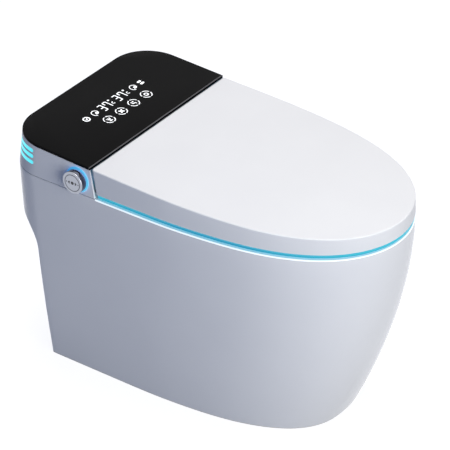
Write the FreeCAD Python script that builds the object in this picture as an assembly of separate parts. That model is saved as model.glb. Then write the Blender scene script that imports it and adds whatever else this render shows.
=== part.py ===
import FreeCAD, Part
import math
import os

# Smart toilet, in millimetres. +Z is up, the front of the bowl points to -Y and the user's right hand is -X.
# The origin is the centre of the drain outlet on the floor.

# Overall sizes
ROUGH_IN = 305.0
WALL_GAP = 10.0
UNIT_LENGTH = 192.0
NOSE_LENGTH = 505.0
RIM_HEIGHT = 398.0
RIM_HALF_WIDTH = 198.0
FOOT_HALF_WIDTH = 162.0
FOOT_SETBACK = 102.0
REAR_CORNER_R = 75.0
OVERRUN = 5.0
RUN_FIT = 0.05
CLEARANCE = 0.4

# Shape of the body: heights of its sections, how fast it widens, and the roundness of its nose
SECTION_SHARES = (0.0, 0.14, 0.3, 0.48, 0.68, 0.86, 1.0)
FLARE_WIDTH_POWER = 1.55
FLARE_TIP_POWER = 1.74
RIM_NOSE_POWERS = (3.7, 2.0)
FOOT_NOSE_POWERS = (2.9, 2.6)
NOSE_STEPS = 7

# Ceramic body
RIM_EDGE_R = 2.0
SKIRT_WALL = 12.0
DECK_THICK = 14.0
BOWL_WALL = 10.0
STEP_DEPTH = 64.0
STEP_R = 65.0
STEP_SHELF_DROP = 93.0
BACK_WINDOW_HALF_WIDTH = 105.0
BACK_WINDOW_DROP = 25.0
HOLLOW_CORNER_R = 28.0
POCKET_WALL = 12.0
POCKET_BACK = 9.0
POCKET_FLOOR_THICK = 13.0

# Bowl: the opening, and each section's depth, length, width and centre as shares down to the sump
BOWL_HALF_LENGTH = 192.0
BOWL_HALF_WIDTH = 132.0
BOWL_AHEAD = 58.0
SUMP_HEIGHT = 95.0
SUMP_AHEAD = 185.0
BOWL_DEPTH_SHARES = (0.0, 0.16, 0.4, 0.64, 0.86, 1.0)
BOWL_LENGTH_SHARES = (1.0, 0.975, 0.78, 0.5, 0.29, 0.18)
BOWL_WIDTH_SHARES = (1.0, 0.985, 0.83, 0.58, 0.36, 0.23)
BOWL_SHIFT_SHARES = (0.0, 0.03, 0.3, 0.68, 0.95, 1.0)

# Trapway: a tube in the middle plane from the sump over the weir to the outlet
TRAP_R = 28.0
TRAP_WALL = 10.0
TRAP_BEND_R = 46.0
TRAP_START_RISE = 27.0
WEIR_REACH = 127.0
WEIR_DROP = 58.0
TRAP_DROP_SHARE = 0.445
TRAP_FOOT_Z = 45.0

# Upper unit: shell, glass and light bars
SEAM_GAP = 0.6
UNIT_LOFT_HEIGHT = 72.0
UNIT_SIDE_DRAFT = 3.4
UNIT_REAR_DRAFT = 8.0
COVER_WALL = 3.0
COVER_TOP_THICK = 2.5
GLASS_THICK = 5.0
GLASS_FRONT_RISE = 58.0
GLASS_REAR_RISE = 68.4
GLASS_EDGE_R = 1.6
CHEEK_SLANT = 11.0
CHEEK_THICK = 4.0
FRONT_WALL_RECESS = 4.0
DISPLAY_HALF_WIDTH = 104.0
DISPLAY_BACK = 51.0
DISPLAY_LENGTH = 68.0
DISPLAY_LEDGE = 6.0
BOARD_THICK = 1.6
BAR_HEIGHT = 7.0
BAR_RISES = (26.0, 38.0, 49.0)
BAR_DEPTH = 2.0
BAR_LENGTH = 69.5
BAR_WRAP = 80.0
COVER_SCREW_R = 2.0
COVER_SCREW_HEAD_R = 4.0
COVER_SCREW_HEAD = 1.8
COVER_SCREW_LENGTH = 14.0
COVER_SCREW_INSET = 13.0
COVER_SCREW_BOSS_R = 5.0

# Hood under the lid, over the spray nozzle and the dryer outlet
HOOD_SIDE_GAP = 10.0
HOOD_LENGTH = 73.0
HOOD_RISE = 32.0
HOOD_WALL = 2.5
HOOD_CORNER_R = 12.0

# Lid
LID_LIFT = 10.0
LID_REAR_RISE = 56.0
LID_FRONT_RISE = 37.0
LID_LOFT_HEIGHT = 52.0
LID_INSET = 2.0
LID_DRAFT = 2.4
LID_GAP = 3.0
LID_REAR_GAP = 2.5
LID_WALL = 4.0
LID_TOP_THICK = 5.0
LID_EDGE_R = 2.5
LID_CORNER_R = 5.0
LID_BUMPER_R = 6.0
LID_BUMPER_AHEADS = (193.0, 283.0)

# Seat
SEAT_LIFT = 9.5
SEAT_THICK = 17.5
SEAT_BASE_THICK = 3.5
SEAT_INSET = 9.0
SEAT_REAR_GAP = 5.0
SEAT_HOLE_END_INSET = 40.0
SEAT_HOLE_SIDE_INSET = 86.0
SEAT_HOLE_AHEAD = 125.0
SEAT_EDGE_R = 7.0
SEAT_BUMPER_R = 8.0
SEAT_BUMPER_AHEADS = (133.0, 303.0)
STRIP_HEIGHT = 6.0
STRIP_WIDTH = 14.0
STRIP_INSET = 1.2

# Hinge: one line for lid and seat
HINGE_BACK = 14.0
HINGE_DROP = 12.0
PIN_R = 3.0
EYE_R = 6.5
EYE_GROOVE_R = 7.5
LUG_GAP = 6.0
POST_WIDTH = 12.0
POST_REACH_FRONT = 9.0
POST_REACH_BACK = 3.5
POST_FOOT_LENGTH = 24.0
POST_FOOT_THICK = 4.0
ARM_WIDTH = 10.0
HINGE_SIDE_GAP = 2.0
DAMPER_R = 6.3
DAMPER_LENGTH = 30.0
DAMPER_TAB = 9.0

# Chassis and tray
PLATE_THICK = 3.5
PLATE_MARGIN = 6.0
PLATE_FRONT_MARGIN = 20.0
PLATE_AHEAD = 52.0
TUB_GAP = 4.0
TUB_WALL = 2.5
TUB_FLOOR_GAP = 4.0
TRAY_THICK = 2.5
TRAY_SLOT_LENGTH = 46.0
TRAY_SLOT_WIDTH = 6.0
TRAY_SLOT_PITCH = 14.0
TRAY_SLOT_COUNT = 6
BOLT_R = 4.0
BOLT_HEAD_R = 7.0
BOLT_HEAD = 5.0
BOLT_LENGTH = 30.0
BOLT_NUT_R = 8.0
BOLT_NUT = 6.5
BOLT_SIDE_GAP = 18.0
BOLT_AHEAD = 31.0

# Knob on the side of the unit
KNOB_BACK = 25.0
KNOB_RISE = 27.5
KNOB_R = 21.0
KNOB_PROUD = 15.0
KNOB_LENGTH = 11.0
KNOB_EDGE_R = 1.2
KNOB_GROOVE_R = 15.5
KNOB_GROOVE = 0.8
KNOB_STEM_R = 4.0
KNOB_SOCKET = 6.0
KNOB_PLUNGER_R = 7.0
KNOB_PLUNGER_LENGTH = 8.0
KNOB_TRAVEL = 2.0
HALO_R = 23.5
HALO_WIDTH = 4.0
HALO_PROUD = 0.9
ENCODER_LENGTH = 20.0
ENCODER_HALF_WIDTH = 12.0
ENCODER_GAP = 2.5

# Spray nozzle: a tilted wand with a rack, its guide, pinion and motor
NOZZLE_X = -20.0
NOZZLE_TILT = 14.0
NOZZLE_R = 6.0
NOZZLE_RISE = 3.0
NOZZLE_INSET = 4.0
NOZZLE_TRAVEL = 80.0
NOZZLE_TIP_LENGTH = 18.0
NOZZLE_TIP_EDGE_R = 3.5
NOZZLE_JET_R = 0.9
NOZZLE_JET_PLACES = (6.0, 10.0, 14.0)
WAND_HOLD = 12.0
GEAR_MODULE = 1.0
PINION_TEETH = 14
PINION_WIDTH = 6.0
PINION_LEAD = 8.0
PRESSURE_ANGLE = 20.0
ADDENDUM = 0.85
DEDENDUM = 1.15
BACKLASH = 0.3
RACK_HALF_WIDTH = 4.0
RACK_PITCH_RISE = 7.2
CHANNEL_START = 21.0
CHANNEL_END = 106.0
CHANNEL_WALL = 2.6
CHANNEL_RIM_DROP = 1.0
CHANNEL_LEG = 8.0
MOTOR_R = 8.5
MOTOR_LENGTH = 24.0
MOTOR_SHAFT_R = 1.5
MOTOR_GAP = 4.0
MOTOR_FOOT_HALF = 5.0

# Warm air: blower, duct and flap
BLOWER_INSET = 110.0
BLOWER_BACK = 87.0
BLOWER_R = 36.0
BLOWER_HEIGHT = 32.0
BLOWER_WALL = 2.0
BLOWER_EYE_R = 18.0
IMPELLER_R = 27.0
IMPELLER_HEIGHT = 20.0
IMPELLER_BLADES = 18
IMPELLER_BLADE_DEPTH = 8.0
IMPELLER_DISC = 1.6
IMPELLER_HUB_R = 6.0
IMPELLER_SHAFT_R = 2.0
DUCT_WIDTH = 32.0
DUCT_HEIGHT = 22.0
DUCT_WALL = 1.6
DUCT_BACK = 43.0
OUTLET_WIDTH = 46.0
OUTLET_HEIGHT = 7.0
OUTLET_RISE = 2.4
FLAP_THICK = 1.2
FLAP_PIN_R = 0.9

# Water: inlet, valve, heater, tank, flush pump and tube
INLET_INSET = 69.5
INLET_AHEAD = 33.0
INLET_THREAD_R = 10.48
INLET_BORE_R = 6.0
INLET_THREAD_LENGTH = 16.0
INLET_BARREL_R = 11.5
INLET_REACH = 50.0
INLET_FLANGE_R = 13.5
INLET_FLANGE = 4.0
VALVE_HALF = 13.5
VALVE_HEIGHT = 26.0
COIL_R = 12.0
COIL_HEIGHT = 30.0
HEATER_INSET = 33.5
HEATER_BACK = 47.0
HEATER_LENGTH = 84.0
HEATER_R = 20.0
HEATER_CAP_R = 22.0
HEATER_CAP = 7.0
HEATER_SADDLE = 10.0
TANK_INSET = 17.5
TANK_BACK = 89.0
TANK_HALF_WIDTH = 44.0
TANK_HALF_LENGTH = 50.0
TANK_HEADROOM = 13.0
TANK_EDGE_R = 8.0
TANK_PORT_R = 5.0
TANK_PORT = 6.0
PUMP_BACK = 93.0
PUMP_R = 34.0
PUMP_HEIGHT = 34.0
PUMP_MOTOR_R = 26.0
PUMP_HEADROOM = 9.0
PUMP_PORT_R = 14.0
PUMP_PORT_REACH = 60.0
FLUSH_RISE = 18.0
FLUSH_R = 10.0
FLUSH_WALL = 2.0
FLUSH_SOCKET = 12.0
FLUSH_INSET = 2.0
GLAND_X = -56.0
GLAND_R = 9.0
GLAND_NUT_R = 12.5
GLAND_CAP_R = 11.0
GLAND_CAP = 11.0
GLAND_BORE_R = 4.0

# Control box and carbon filter
CONTROL_INSET = 92.0
CONTROL_REAR_INSET = 83.0
CONTROL_HALF_WIDTH = 44.0
CONTROL_HALF_LENGTH = 46.0
CONTROL_HEIGHT = 34.0
CONTROL_EDGE_R = 3.0
CONTROL_RIBS = 7
CONTROL_RIB = 2.0
CARBON_INSET = 40.0
CARBON_BACK = 41.0
CARBON_HALF_WIDTH = 16.0
CARBON_HALF_LENGTH = 26.0
CARBON_HEIGHT = 34.0
CARBON_SLOTS = 5
CARBON_SLOT = 3.0

V = FreeCAD.Vector
REAR_Y = ROUGH_IN - WALL_GAP
NOSE_Y = REAR_Y - UNIT_LENGTH
TIP_Y = NOSE_Y - NOSE_LENGTH
STEP_Y = REAR_Y - STEP_DEPTH
STEP_SHELF_HEIGHT = RIM_HEIGHT - STEP_SHELF_DROP
BACK_WINDOW_HEIGHT = STEP_SHELF_HEIGHT - STEP_R - BACK_WINDOW_DROP
BOWL_DEPTH = RIM_HEIGHT - SUMP_HEIGHT
TRAP_START_Z = SUMP_HEIGHT + TRAP_START_RISE
WEIR_CORNER_Z = STEP_SHELF_HEIGHT - WEIR_DROP
TRAP_DROP_Z = WEIR_CORNER_Z * TRAP_DROP_SHARE
BOWL_REAR_Y = NOSE_Y - BOWL_AHEAD
SUMP_Y = NOSE_Y - SUMP_AHEAD
WEIR_CORNER_Y = SUMP_Y + WEIR_REACH
UNIT_BOTTOM = RIM_HEIGHT + SEAM_GAP
UNIT_TOP = UNIT_BOTTOM + UNIT_LOFT_HEIGHT
GLASS_FRONT_Y = NOSE_Y
FRONT_WALL_Y = GLASS_FRONT_Y + FRONT_WALL_RECESS
GLASS_SLOPE = (GLASS_REAR_RISE - GLASS_FRONT_RISE) / UNIT_LENGTH
DISPLAY_FRONT_Y = NOSE_Y + DISPLAY_BACK
DISPLAY_REAR_Y = DISPLAY_FRONT_Y + DISPLAY_LENGTH
BAR_FRONT_Y = REAR_Y - BAR_LENGTH
BAR_REAR_HALF_X = RIM_HALF_WIDTH - BAR_WRAP
LID_HALF_WIDTH = RIM_HALF_WIDTH - LID_INSET
LID_BOTTOM = RIM_HEIGHT + LID_LIFT
LID_TIP_Y = TIP_Y
LID_REAR_Y = GLASS_FRONT_Y - LID_REAR_GAP
LID_SLOPE = (LID_REAR_RISE - LID_FRONT_RISE) / (LID_REAR_Y - LID_TIP_Y)
HINGE_Y = GLASS_FRONT_Y - HINGE_BACK
HINGE_Z = RIM_HEIGHT + GLASS_FRONT_RISE - HINGE_DROP
LUG_X = LID_HALF_WIDTH - LID_WALL - LUG_GAP - ARM_WIDTH
ARM_X = LUG_X - HINGE_SIDE_GAP - ARM_WIDTH
POST_X = ARM_X - HINGE_SIDE_GAP - POST_WIDTH
DAMPER_X = POST_X - DAMPER_LENGTH
HOOD_HALF_WIDTH = DAMPER_X - HOOD_SIDE_GAP
HOOD_FRONT_Y = NOSE_Y - HOOD_LENGTH
HOOD_TOP = RIM_HEIGHT + HOOD_RISE
SEAT_BOTTOM = RIM_HEIGHT + SEAT_LIFT
SEAT_TOP = SEAT_BOTTOM + SEAT_THICK
SEAT_REAR_Y = HOOD_FRONT_Y - SEAT_REAR_GAP
SEAT_HALF_WIDTH = LID_HALF_WIDTH - SEAT_INSET
SEAT_HOLE_HALF_LENGTH = BOWL_HALF_LENGTH - SEAT_HOLE_END_INSET
SEAT_HOLE_HALF_WIDTH = RIM_HALF_WIDTH - SEAT_HOLE_SIDE_INSET
SEAT_MIDDLE_X = (SEAT_HALF_WIDTH + SEAT_HOLE_HALF_WIDTH) / 2
PLATE_TOP = RIM_HEIGHT + PLATE_THICK
PLATE_HALF_WIDTH = RIM_HALF_WIDTH - PLATE_MARGIN
PLATE_FRONT_Y = NOSE_Y - PLATE_AHEAD
TRAY_TOP = PLATE_TOP + TRAY_THICK
POCKET_FRONT_Y = NOSE_Y + POCKET_BACK
POCKET_FLOOR = STEP_SHELF_HEIGHT + POCKET_FLOOR_THICK
TUB_BOTTOM = POCKET_FLOOR + TUB_FLOOR_GAP
TUB_FLOOR = TUB_BOTTOM + TUB_WALL
TUB_HALF_WIDTH = RIM_HALF_WIDTH - POCKET_WALL - TUB_GAP - TUB_WALL
BOLT_X = POST_X - BOLT_SIDE_GAP
BOLT_Y = NOSE_Y - BOLT_AHEAD
KNOB_Y = NOSE_Y + KNOB_BACK
KNOB_Z = RIM_HEIGHT + KNOB_RISE
KNOB_WALL_X = -RIM_HALF_WIDTH + UNIT_SIDE_DRAFT * (KNOB_Z - UNIT_BOTTOM) / UNIT_LOFT_HEIGHT
KNOB_FACE_X = KNOB_WALL_X - KNOB_PROUD
ENCODER_X = KNOB_WALL_X + COVER_WALL + ENCODER_GAP
PLUNGER_X = ENCODER_X + CLEARANCE
PLUNGER_END_X = PLUNGER_X + KNOB_PLUNGER_LENGTH
NOZZLE_FRONT_Y = HOOD_FRONT_Y + NOZZLE_INSET
NOZZLE_SLOPE = math.tan(math.radians(NOZZLE_TILT))
NOZZLE_FRONT_Z = RIM_HEIGHT + NOZZLE_RISE - NOZZLE_SLOPE * (BOWL_REAR_Y - NOZZLE_FRONT_Y)
PINION_R = GEAR_MODULE * PINION_TEETH / 2
PINION_PLACE = NOZZLE_TIP_LENGTH + PINION_LEAD
PINION_RISE = RACK_PITCH_RISE + PINION_R
WAND_LENGTH = NOZZLE_TRAVEL + WAND_HOLD
OUTLET_BOTTOM = UNIT_BOTTOM + OUTLET_RISE
FLAP_Y = HOOD_FRONT_Y + HOOD_WALL / 2
FLAP_Z = OUTLET_BOTTOM + OUTLET_HEIGHT - FLAP_THICK
BLOWER_X = RIM_HALF_WIDTH - BLOWER_INSET
BLOWER_Y = NOSE_Y + BLOWER_BACK
DUCT_REAR_Y = NOSE_Y + DUCT_BACK
DUCT_X = BLOWER_X - BLOWER_R + DUCT_WIDTH / 2
INLET_X = TUB_HALF_WIDTH - INLET_INSET
INLET_Y = REAR_Y - INLET_AHEAD
HEATER_X = TUB_HALF_WIDTH - HEATER_INSET - HEATER_LENGTH / 2
TANK_X = TANK_INSET + TANK_HALF_WIDTH - TUB_HALF_WIDTH
TANK_HEIGHT = PLATE_TOP - TUB_FLOOR - TANK_HEADROOM
PUMP_MOTOR_HEIGHT = PLATE_TOP - TUB_FLOOR - PUMP_HEIGHT - PUMP_HEADROOM
FLUSH_Z = TUB_FLOOR + FLUSH_RISE
PUMP_Y = NOSE_Y + PUMP_BACK
os.makedirs("parts", exist_ok=True)


# Shared operations
def block(x0, x1, y0, y1, z0, z1):
    return Part.makeBox(x1 - x0, y1 - y0, z1 - z0, V(x0, y0, z0))


def rod(radius, start, end):
    path = end - start
    return Part.makeCylinder(radius, path.Length, start, path)


def ring(outer, inner, start, end):
    return rod(outer, start, end).cut(rod(inner, start, end))


def fuse(shapes):
    return shapes[0].multiFuse(shapes[1:]).removeSplitter()


def mirrored(shape):
    return shape.mirror(V(0, 0, 0), V(1, 0, 0))


def side_profile(points, x0, x1):
    """A closed outline of (y, z) points, carried along X."""
    corners = [V(x0, y, z) for y, z in points]
    face = Part.Face(Part.makePolygon(corners + corners[:1]))
    return face.extrude(V(x1 - x0, 0, 0))


def corner_arc(centre, radius, start_angle, end_angle):
    """A level arc about a centre, between two angles in degrees."""
    angles = (start_angle, (start_angle + end_angle) / 2, end_angle)
    turns = [math.radians(angle) for angle in angles]
    points = [centre + V(radius * math.cos(turn), radius * math.sin(turn), 0) for turn in turns]
    return Part.Arc(*points).toShape()


def rear_edges(half_width, front_y, rear_y, corner_r, z):
    """Left flank, rear and right flank of a plan, with rounded rear corners."""
    left = V(corner_r - half_width, rear_y - corner_r, z)
    right = V(half_width - corner_r, rear_y - corner_r, z)
    left_arc = corner_arc(left, corner_r, 180, 90)
    right_arc = corner_arc(right, corner_r, 90, 0)
    return [
        Part.makeLine(V(-half_width, front_y, z), left_arc.Vertexes[0].Point),
        left_arc,
        Part.makeLine(left_arc.Vertexes[1].Point, right_arc.Vertexes[0].Point),
        right_arc,
        Part.makeLine(right_arc.Vertexes[1].Point, V(half_width, front_y, z)),
    ]


def rear_plan(half_width, front_y, rear_y, corner_r, z):
    """Plan with a straight front and rounded rear corners."""
    front = Part.makeLine(V(half_width, front_y, z), V(-half_width, front_y, z))
    return Part.Wire([front] + rear_edges(half_width, front_y, rear_y, corner_r, z))


def nose_plan(half_width, tip_y, rear_y, corner_r, powers, z):
    """Plan with a superellipse nose, straight flanks and rounded rear corners."""
    length_power, width_power = powers
    side = []
    for step in range(NOSE_STEPS + 1):
        turn = math.pi / 2 * step / NOSE_STEPS
        along = math.sin(turn) ** (2 / length_power)
        across = math.cos(turn) ** (2 / width_power)
        side.append(V(half_width * across, NOSE_Y - (NOSE_Y - tip_y) * along, z))
    side[-1].x = 0
    points = side + [V(-point.x, point.y, z) for point in reversed(side[:-1])]
    nose = Part.BSplineCurve()
    nose.interpolate(Points=points, InitialTangent=V(0, -1, 0), FinalTangent=V(0, 1, 0))
    return Part.Wire([nose.toShape()] + rear_edges(half_width, NOSE_Y, rear_y, corner_r, z))


def loft(wires):
    return Part.makeLoft(wires, True, False)


def prism(wire, height):
    return Part.Face(wire).extrude(V(0, 0, height))


def oval(half_width, half_length, centre_y, z):
    """Level ellipse with its long axis along Y."""
    if half_length >= half_width:
        curve = Part.Ellipse(V(0, centre_y + half_length, z), V(half_width, centre_y, z), V(0, centre_y, z))
    else:
        curve = Part.Ellipse(V(half_width, centre_y, z), V(0, centre_y + half_length, z), V(0, centre_y, z))
    return Part.Wire(curve.toShape())


def level_edges(shape, z):
    """The edges of a shape that lie flat at one height."""
    near = RUN_FIT
    return [e for e in shape.Edges if abs(e.BoundBox.ZMin - z) < near and abs(e.BoundBox.ZMax - z) < near]


# Ceramic body
def body_loft(inset, rear_y, corner_r, shares):
    """The body's outside, or a skin inset from it, through level sections from the foot to the rim."""
    wires = []
    for share in shares:
        width_share = 1 - (1 - share) ** FLARE_WIDTH_POWER
        tip_share = 1 - (1 - share) ** FLARE_TIP_POWER
        half_width = FOOT_HALF_WIDTH + (RIM_HALF_WIDTH - FOOT_HALF_WIDTH) * width_share
        tip_y = TIP_Y + FOOT_SETBACK * (1 - tip_share)
        powers = [f + (r - f) * share for f, r in zip(FOOT_NOSE_POWERS, RIM_NOSE_POWERS)]
        z = RIM_HEIGHT * share
        wires.append(nose_plan(half_width - inset, tip_y + inset, rear_y, corner_r, powers, z))
    return loft(wires)


def rear_step():
    """What is cut from the back: a wall down to the floor under a rounded shelf."""
    edge_z = STEP_SHELF_HEIGHT - STEP_R
    back_y = STEP_Y + STEP_R + OVERRUN
    low = V(0, STEP_Y, -OVERRUN)
    turn = V(0, STEP_Y, edge_z)
    shelf = V(0, STEP_Y + STEP_R, STEP_SHELF_HEIGHT)
    middle = V(0, STEP_Y + STEP_R - STEP_R * math.cos(math.pi / 4), edge_z + STEP_R * math.sin(math.pi / 4))
    back_top = V(0, back_y, STEP_SHELF_HEIGHT)
    back_low = V(0, back_y, -OVERRUN)
    edges = [Part.makeLine(low, turn), Part.Arc(turn, middle, shelf).toShape()]
    edges += [Part.makeLine(shelf, back_top), Part.makeLine(back_top, back_low), Part.makeLine(back_low, low)]
    half = RIM_HALF_WIDTH + OVERRUN
    cutter = Part.Face(Part.Wire(edges)).extrude(V(2 * half, 0, 0))
    return cutter.translated(V(-half, 0, 0))


def bowl_loft(wall, top_z):
    """The bowl's inside, or its outside at one wall's distance, from the deck down to the sump."""
    mouth_y = BOWL_REAR_Y - BOWL_HALF_LENGTH
    wires = [oval(BOWL_HALF_WIDTH + wall, BOWL_HALF_LENGTH + wall, mouth_y, top_z)]
    shares = zip(BOWL_DEPTH_SHARES, BOWL_LENGTH_SHARES, BOWL_WIDTH_SHARES, BOWL_SHIFT_SHARES)
    for depth, length, width, shift in list(shares)[1:]:
        half_width = BOWL_HALF_WIDTH * width + wall
        half_length = BOWL_HALF_LENGTH * length + wall
        centre_y = mouth_y + (SUMP_Y - mouth_y) * shift
        z = RIM_HEIGHT - BOWL_DEPTH * depth - wall * depth
        wires.append(oval(half_width, half_length, centre_y, z))
    return loft(wires)


def rounded_path(corners, radius):
    """Straight runs through the corners, joined by tangent arcs of one radius."""
    edges = []
    start = corners[0]
    for before, corner, after in zip(corners, corners[1:], corners[2:]):
        inward = (before - corner).normalize()
        outward = (after - corner).normalize()
        half_turn = inward.getAngle(outward) / 2
        reach = radius / math.tan(half_turn)
        bisector = (inward + outward).normalize()
        middle = corner + bisector * (radius / math.sin(half_turn) - radius)
        edges.append(Part.makeLine(start, corner + inward * reach))
        edges.append(Part.Arc(corner + inward * reach, middle, corner + outward * reach).toShape())
        start = corner + outward * reach
    edges.append(Part.makeLine(start, corners[-1]))
    return Part.Wire(edges)


def trap_tube(radius, foot_z):
    corners = [V(0, SUMP_Y, TRAP_START_Z), V(0, WEIR_CORNER_Y, WEIR_CORNER_Z),
               V(0, WEIR_CORNER_Y, TRAP_DROP_Z)]
    corners += [V(0, 0, TRAP_FOOT_Z), V(0, 0, foot_z)]
    path = rounded_path(corners, TRAP_BEND_R)
    direction = corners[1] - corners[0]
    section = Part.Wire(Part.makeCircle(radius, corners[0], direction))
    return path.makePipeShell([section], True, False)


def pocket(inset, bottom, top):
    """The well for the equipment behind the bowl, or a solid inset from its inside."""
    half_width = RIM_HALF_WIDTH - POCKET_WALL - inset
    rear_y = REAR_Y - POCKET_WALL - inset
    corner_r = REAR_CORNER_R - POCKET_WALL - inset
    return prism(rear_plan(half_width, POCKET_FRONT_Y + inset, rear_y, corner_r, bottom), top - bottom)


def ceramic_pedestal():
    outside = body_loft(0, REAR_Y, REAR_CORNER_R, SECTION_SHARES)
    rim = max(outside.Faces, key=lambda face: face.CenterOfMass.z)
    outside = outside.makeFillet(RIM_EDGE_R, rim.Edges).cut(rear_step())
    low_share = -OVERRUN / RIM_HEIGHT
    high_share = 1 - DECK_THICK / RIM_HEIGHT
    inner_shares = (low_share,) + SECTION_SHARES[1:-1] + (high_share,)
    hollow = body_loft(SKIRT_WALL, STEP_Y - SKIRT_WALL, HOLLOW_CORNER_R, inner_shares)
    pocket_shell = pocket(-POCKET_WALL + OVERRUN / 2, STEP_SHELF_HEIGHT, RIM_HEIGHT)
    for solid in (bowl_loft(BOWL_WALL, RIM_HEIGHT), trap_tube(TRAP_R + TRAP_WALL, 0), pocket_shell):
        hollow = hollow.cut(solid)
    window = block(-BACK_WINDOW_HALF_WIDTH, BACK_WINDOW_HALF_WIDTH, STEP_Y - SKIRT_WALL - OVERRUN,
                   STEP_Y + OVERRUN, -OVERRUN, BACK_WINDOW_HEIGHT)
    body = outside.cut(hollow).cut(window.cut(trap_tube(TRAP_R + TRAP_WALL, 0)))
    body = body.cut(bowl_loft(0, RIM_HEIGHT + OVERRUN))
    body = body.cut(trap_tube(TRAP_R, -OVERRUN))
    return body.cut(pocket(0, POCKET_FLOOR, RIM_HEIGHT + OVERRUN))


def nozzle_place(shape):
    """Takes a shape drawn along the wand, with its front end at zero, to the tilted place of the nozzle."""
    turned = shape.rotated(V(0, 0, 0), V(1, 0, 0), NOZZLE_TILT)
    return turned.translated(V(NOZZLE_X, NOZZLE_FRONT_Y, NOZZLE_FRONT_Z))


# Upper unit
def unit_solid(inset, front_y):
    """The drafted block of the upper unit, or a solid inset from its sides and rear."""
    corner_r = REAR_CORNER_R - inset
    low = rear_plan(RIM_HALF_WIDTH - inset, front_y, REAR_Y - inset, corner_r, UNIT_BOTTOM)
    top_half_width = RIM_HALF_WIDTH - UNIT_SIDE_DRAFT - inset
    top_rear_y = REAR_Y - UNIT_REAR_DRAFT - inset
    high = rear_plan(top_half_width, front_y, top_rear_y, corner_r, UNIT_TOP)
    return loft([low, high])


def glass_z(y, depth):
    """Height of a plane parallel to the sloping glass top, at a depth below it."""
    return RIM_HEIGHT + GLASS_FRONT_RISE + GLASS_SLOPE * (y - GLASS_FRONT_Y) - depth


def under_glass(depth, front_y, half_width, bottom):
    """Everything below the sloping plane at one depth under the glass top."""
    back_y = REAR_Y + OVERRUN
    points = [(front_y, bottom), (back_y, bottom), (back_y, glass_z(back_y, depth))]
    return side_profile(points + [(front_y, glass_z(front_y, depth))], -half_width, half_width)


def cheek_front(half_width):
    """What lies ahead of the slanting front edge of the cheeks."""
    low_y = GLASS_FRONT_Y - CHEEK_SLANT
    high_z = RIM_HEIGHT + GLASS_FRONT_RISE
    slant = CHEEK_SLANT / GLASS_FRONT_RISE
    top = high_z + OVERRUN
    far_y = HOOD_FRONT_Y
    points = [(far_y, RIM_HEIGHT), (low_y, RIM_HEIGHT),
              (low_y + slant * (top - RIM_HEIGHT), top), (far_y, top)]
    return side_profile(points, -half_width, half_width)


def hood_block(wall, rear_y):
    """The hood over nozzle and dryer, or its inside at one wall's distance."""
    half_width = HOOD_HALF_WIDTH - wall
    front_y = HOOD_FRONT_Y + wall
    radius = HOOD_CORNER_R - wall
    plan = rear_plan(half_width, -rear_y, -front_y, radius, UNIT_BOTTOM - wall)
    solid = prism(plan, HOOD_TOP - UNIT_BOTTOM)
    return solid.rotated(V(0, 0, 0), V(0, 0, 1), 180)


def light_bar_band(rise):
    """One bar's band round the unit: from its round front end, round the corner, to the rear."""
    wide = RIM_HALF_WIDTH + OVERRUN
    z = RIM_HEIGHT + rise
    half = BAR_HEIGHT / 2
    start_y = BAR_FRONT_Y + half
    band = fuse([block(-wide, wide, start_y, REAR_Y + OVERRUN, z - half, z + half),
                 rod(half, V(-wide, start_y, z), V(wide, start_y, z))])
    middle = block(-BAR_REAR_HALF_X, BAR_REAR_HALF_X, BAR_FRONT_Y - OVERRUN, REAR_Y + 2 * OVERRUN,
                   z - BAR_HEIGHT, z + BAR_HEIGHT)
    return band.cut(middle)


def side_light_bars():
    skin = unit_solid(0, NOSE_Y).cut(unit_solid(BAR_DEPTH, NOSE_Y - OVERRUN))
    bars = []
    for rise in BAR_RISES:
        bars += skin.common(light_bar_band(rise)).Solids
    return Part.makeCompound(bars)


def cover_screw_places():
    """Feet of the two posts that the cover is screwed to, inside the hood."""
    x = HOOD_HALF_WIDTH - COVER_SCREW_INSET
    y = FRONT_WALL_Y - COVER_SCREW_INSET
    return [V(-x, y, PLATE_TOP), V(x, y, PLATE_TOP)]


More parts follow.
